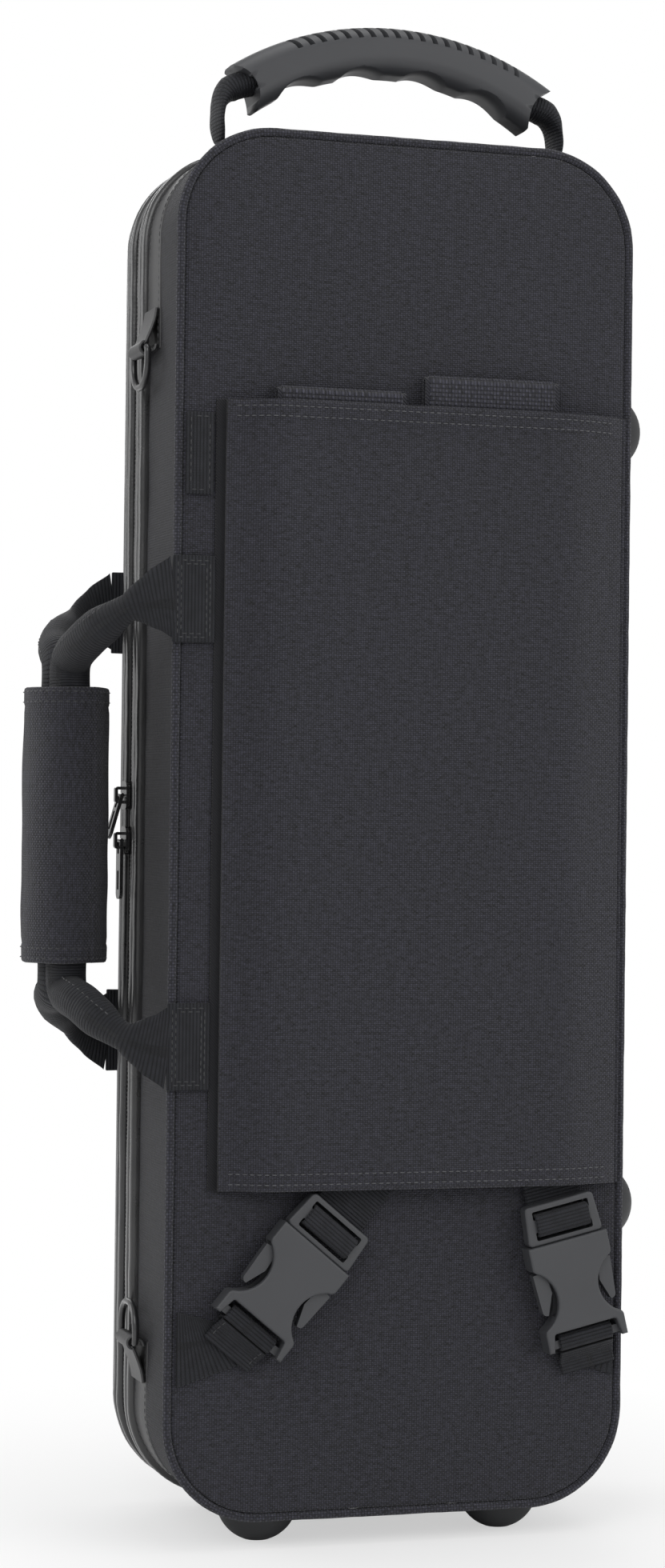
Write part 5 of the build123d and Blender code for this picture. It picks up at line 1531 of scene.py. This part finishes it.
def dress_hard_parts():
    """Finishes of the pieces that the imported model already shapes."""
    arms = [f"buckle_arm_{arm}_{hand}" for arm in "ab" for hand in ("left", "right")]
    finishes = {
        "moulding": ["buckle_receivers", "buckle_frames", *arms],
        "foot": ["tray_feet", "lid_feet"],
        "steel": ["tray_foot_screws", "lid_foot_screws"],
        "metal": ["slider_upper", "slider_lower", "pull_upper", "pull_lower", "pocket_slider", "pocket_pull"],
        "wire": ["d_ring_upper", "d_ring_lower"],
        "board": ["tray_shell", "lid_shell"],
    }
    for finish, nodes in finishes.items():
        for node in nodes:
            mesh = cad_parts[node].data
            mesh.materials.clear()
            mesh.materials.append(finish_named(finish))


# The steps, in the order in which they dress the case

class CASE_OT_finishes(bpy.types.Operator):
    """All materials of the case."""
    bl_idname = "case.finishes"
    bl_label = "Finishes"

    def execute(self, context):
        make_finishes(context.scene.case_cloth, context.scene.case_colours)
        return {"FINISHED"}


class CASE_OT_stage(bpy.types.Operator):
    """Pale floor, soft lamps and the camera."""
    bl_idname = "case.stage"
    bl_label = "Stage"

    def execute(self, context):
        make_stage()
        make_camera()
        return {"FINISHED"}


class CASE_OT_hard_parts(bpy.types.Operator):
    """Finishes of buckles, feet, rings, sliders and shells."""
    bl_idname = "case.hard_parts"
    bl_label = "Hard parts"

    def execute(self, context):
        dress_hard_parts()
        return {"FINISHED"}


class CASE_OT_back_panel(bpy.types.Operator):
    """Padded back panel."""
    bl_idname = "case.back_panel"
    bl_label = "Back panel"

    def execute(self, context):
        make_back_panel()
        return {"FINISHED"}


class CASE_OT_piping(bpy.types.Operator):
    """Piping round the back panel."""
    bl_idname = "case.piping"
    bl_label = "Piping"

    def execute(self, context):
        make_piping()
        return {"FINISHED"}


class CASE_OT_side_cover(bpy.types.Operator):
    """Fabric round the walls of the tray."""
    bl_idname = "case.side_cover"
    bl_label = "Side cover"

    def execute(self, context):
        make_side_cover()
        return {"FINISHED"}


class CASE_OT_zip_lips(bpy.types.Operator):
    """Leatherette lips along both halves of the zip."""
    bl_idname = "case.zip_lips"
    bl_label = "Zip lips"

    def execute(self, context):
        make_lip("near_lip", *NEAR_LIP, "tray")
        make_lip("far_lip", *FAR_LIP, "lid")
        return {"FINISHED"}


class CASE_OT_zip_halves(bpy.types.Operator):
    """Tapes and coils of the zip."""
    bl_idname = "case.zip_halves"
    bl_label = "Zip"

    def execute(self, context):
        make_zip("tray")
        make_zip("lid")
        return {"FINISHED"}


class CASE_OT_corner_bands(bpy.types.Operator):
    """Leatherette bands round the corners of the zipped side."""
    bl_idname = "case.corner_bands"
    bl_label = "Corner bands"

    def execute(self, context):
        make_corner_bands()
        return {"FINISHED"}


class CASE_OT_hinge_strip(bpy.types.Operator):
    """Fabric hinge between tray and lid."""
    bl_idname = "case.hinge_strip"
    bl_label = "Hinge strip"

    def execute(self, context):
        make_hinge_strip()
        return {"FINISHED"}


class CASE_OT_lid_cover(bpy.types.Operator):
    """Fitted fabric of the lid."""
    bl_idname = "case.lid_cover"
    bl_label = "Lid cover"

    def execute(self, context):
        make_lid_cover()
        return {"FINISHED"}


class CASE_OT_hinge_side_panel(bpy.types.Operator):
    """Padded panel on the hinged side."""
    bl_idname = "case.hinge_side_panel"
    bl_label = "Hinge side panel"

    def execute(self, context):
        make_hinge_side_panel()
        return {"FINISHED"}


class CASE_OT_strap_cover(bpy.types.Operator):
    """Cover over the stowed shoulder straps, with its sewn edges."""
    bl_idname = "case.strap_cover"
    bl_label = "Strap cover"

    def execute(self, context):
        make_strap_cover()
        make_cover_edges()
        return {"FINISHED"}


class CASE_OT_shoulder_straps(bpy.types.Operator):
    """Folded shoulder straps with bindings and ribbons."""
    bl_idname = "case.shoulder_straps"
    bl_label = "Shoulder straps"

    def execute(self, context):
        make_strap_trim()
        return {"FINISHED"}


class CASE_OT_buckle_webs(bpy.types.Operator):
    """Webbing of both buckles."""
    bl_idname = "case.buckle_webs"
    bl_label = "Buckle webbing"

    def execute(self, context):
        make_adjust_webs()
        make_anchor_webs()
        return {"FINISHED"}


class CASE_OT_webbing_tab(bpy.types.Operator):
    """Short tab beside the strap cover."""
    bl_idname = "case.webbing_tab"
    bl_label = "Webbing tab"

    def execute(self, context):
        make_webbing_tab()
        return {"FINISHED"}


class CASE_OT_side_handle(bpy.types.Operator):
    """Both halves of the carry handle on the zipped side."""
    bl_idname = "case.side_handle"
    bl_label = "Side handle"

    def execute(self, context):
        make_handle("tray", -1)
        make_handle("lid", 1)
        return {"FINISHED"}


class CASE_OT_end_handle(bpy.types.Operator):
    """Webbing of the handle on the upper end."""
    bl_idname = "case.end_handle"
    bl_label = "End handle"

    def execute(self, context):
        make_end_handle()
        return {"FINISHED"}


class CASE_OT_ring_tabs(bpy.types.Operator):
    """Leatherette tabs of the rings."""
    bl_idname = "case.ring_tabs"
    bl_label = "Ring tabs"

    def execute(self, context):
        make_ring_tabs()
        return {"FINISHED"}


class CASE_OT_lining(bpy.types.Operator):
    """Pads and cradle inside."""
    bl_idname = "case.lining"
    bl_label = "Lining"

    def execute(self, context):
        make_lining()
        return {"FINISHED"}


class CASE_OT_lid_pocket(bpy.types.Operator):
    """Document pocket on the lid."""
    bl_idname = "case.lid_pocket"
    bl_label = "Lid pocket"

    def execute(self, context):
        make_pocket()
        return {"FINISHED"}


STEPS = (
    CASE_OT_finishes, CASE_OT_stage, CASE_OT_hard_parts, CASE_OT_back_panel, CASE_OT_piping,
    CASE_OT_side_cover, CASE_OT_zip_lips, CASE_OT_zip_halves, CASE_OT_corner_bands, CASE_OT_hinge_strip,
    CASE_OT_lid_cover, CASE_OT_hinge_side_panel, CASE_OT_strap_cover, CASE_OT_shoulder_straps,
    CASE_OT_buckle_webs, CASE_OT_webbing_tab, CASE_OT_side_handle, CASE_OT_end_handle,
    CASE_OT_ring_tabs, CASE_OT_lining, CASE_OT_lid_pocket,
)


class CASE_PT_dresser(bpy.types.Panel):
    """Sizes, colours and steps, in the sidebar of the 3D view."""
    bl_idname = "CASE_PT_dresser"
    bl_label = "Instrument case"
    bl_space_type = "VIEW_3D"
    bl_region_type = "UI"
    bl_category = "Case"

    def draw(self, context):
        column = self.layout.column()
        for group in (context.scene.case_cloth, context.scene.case_colours):
            for name in type(group).__annotations__:
                column.prop(group, name)
        for step in STEPS:
            column.operator(step.bl_idname)


CLASSES = (CaseCloth, CaseColours, *STEPS, CASE_PT_dresser)


def register():
    """Makes the sizes, colours, steps and panel known."""
    for item in CLASSES:
        bpy.utils.register_class(item)
    bpy.types.Scene.case_cloth = bpy.props.PointerProperty(type=CaseCloth)
    bpy.types.Scene.case_colours = bpy.props.PointerProperty(type=CaseColours)


def unregister():
    """Takes them away again."""
    del bpy.types.Scene.case_colours
    del bpy.types.Scene.case_cloth
    for item in reversed(CLASSES):
        bpy.utils.unregister_class(item)


def main():
    """Dresses the case step by step."""
    register()
    bpy.context.scene.view_settings.view_transform = "Standard"
    for step in STEPS:
        group, name = step.bl_idname.split(".")
        getattr(getattr(bpy.ops, group), name)()


if __name__ == "__main__":
    main()
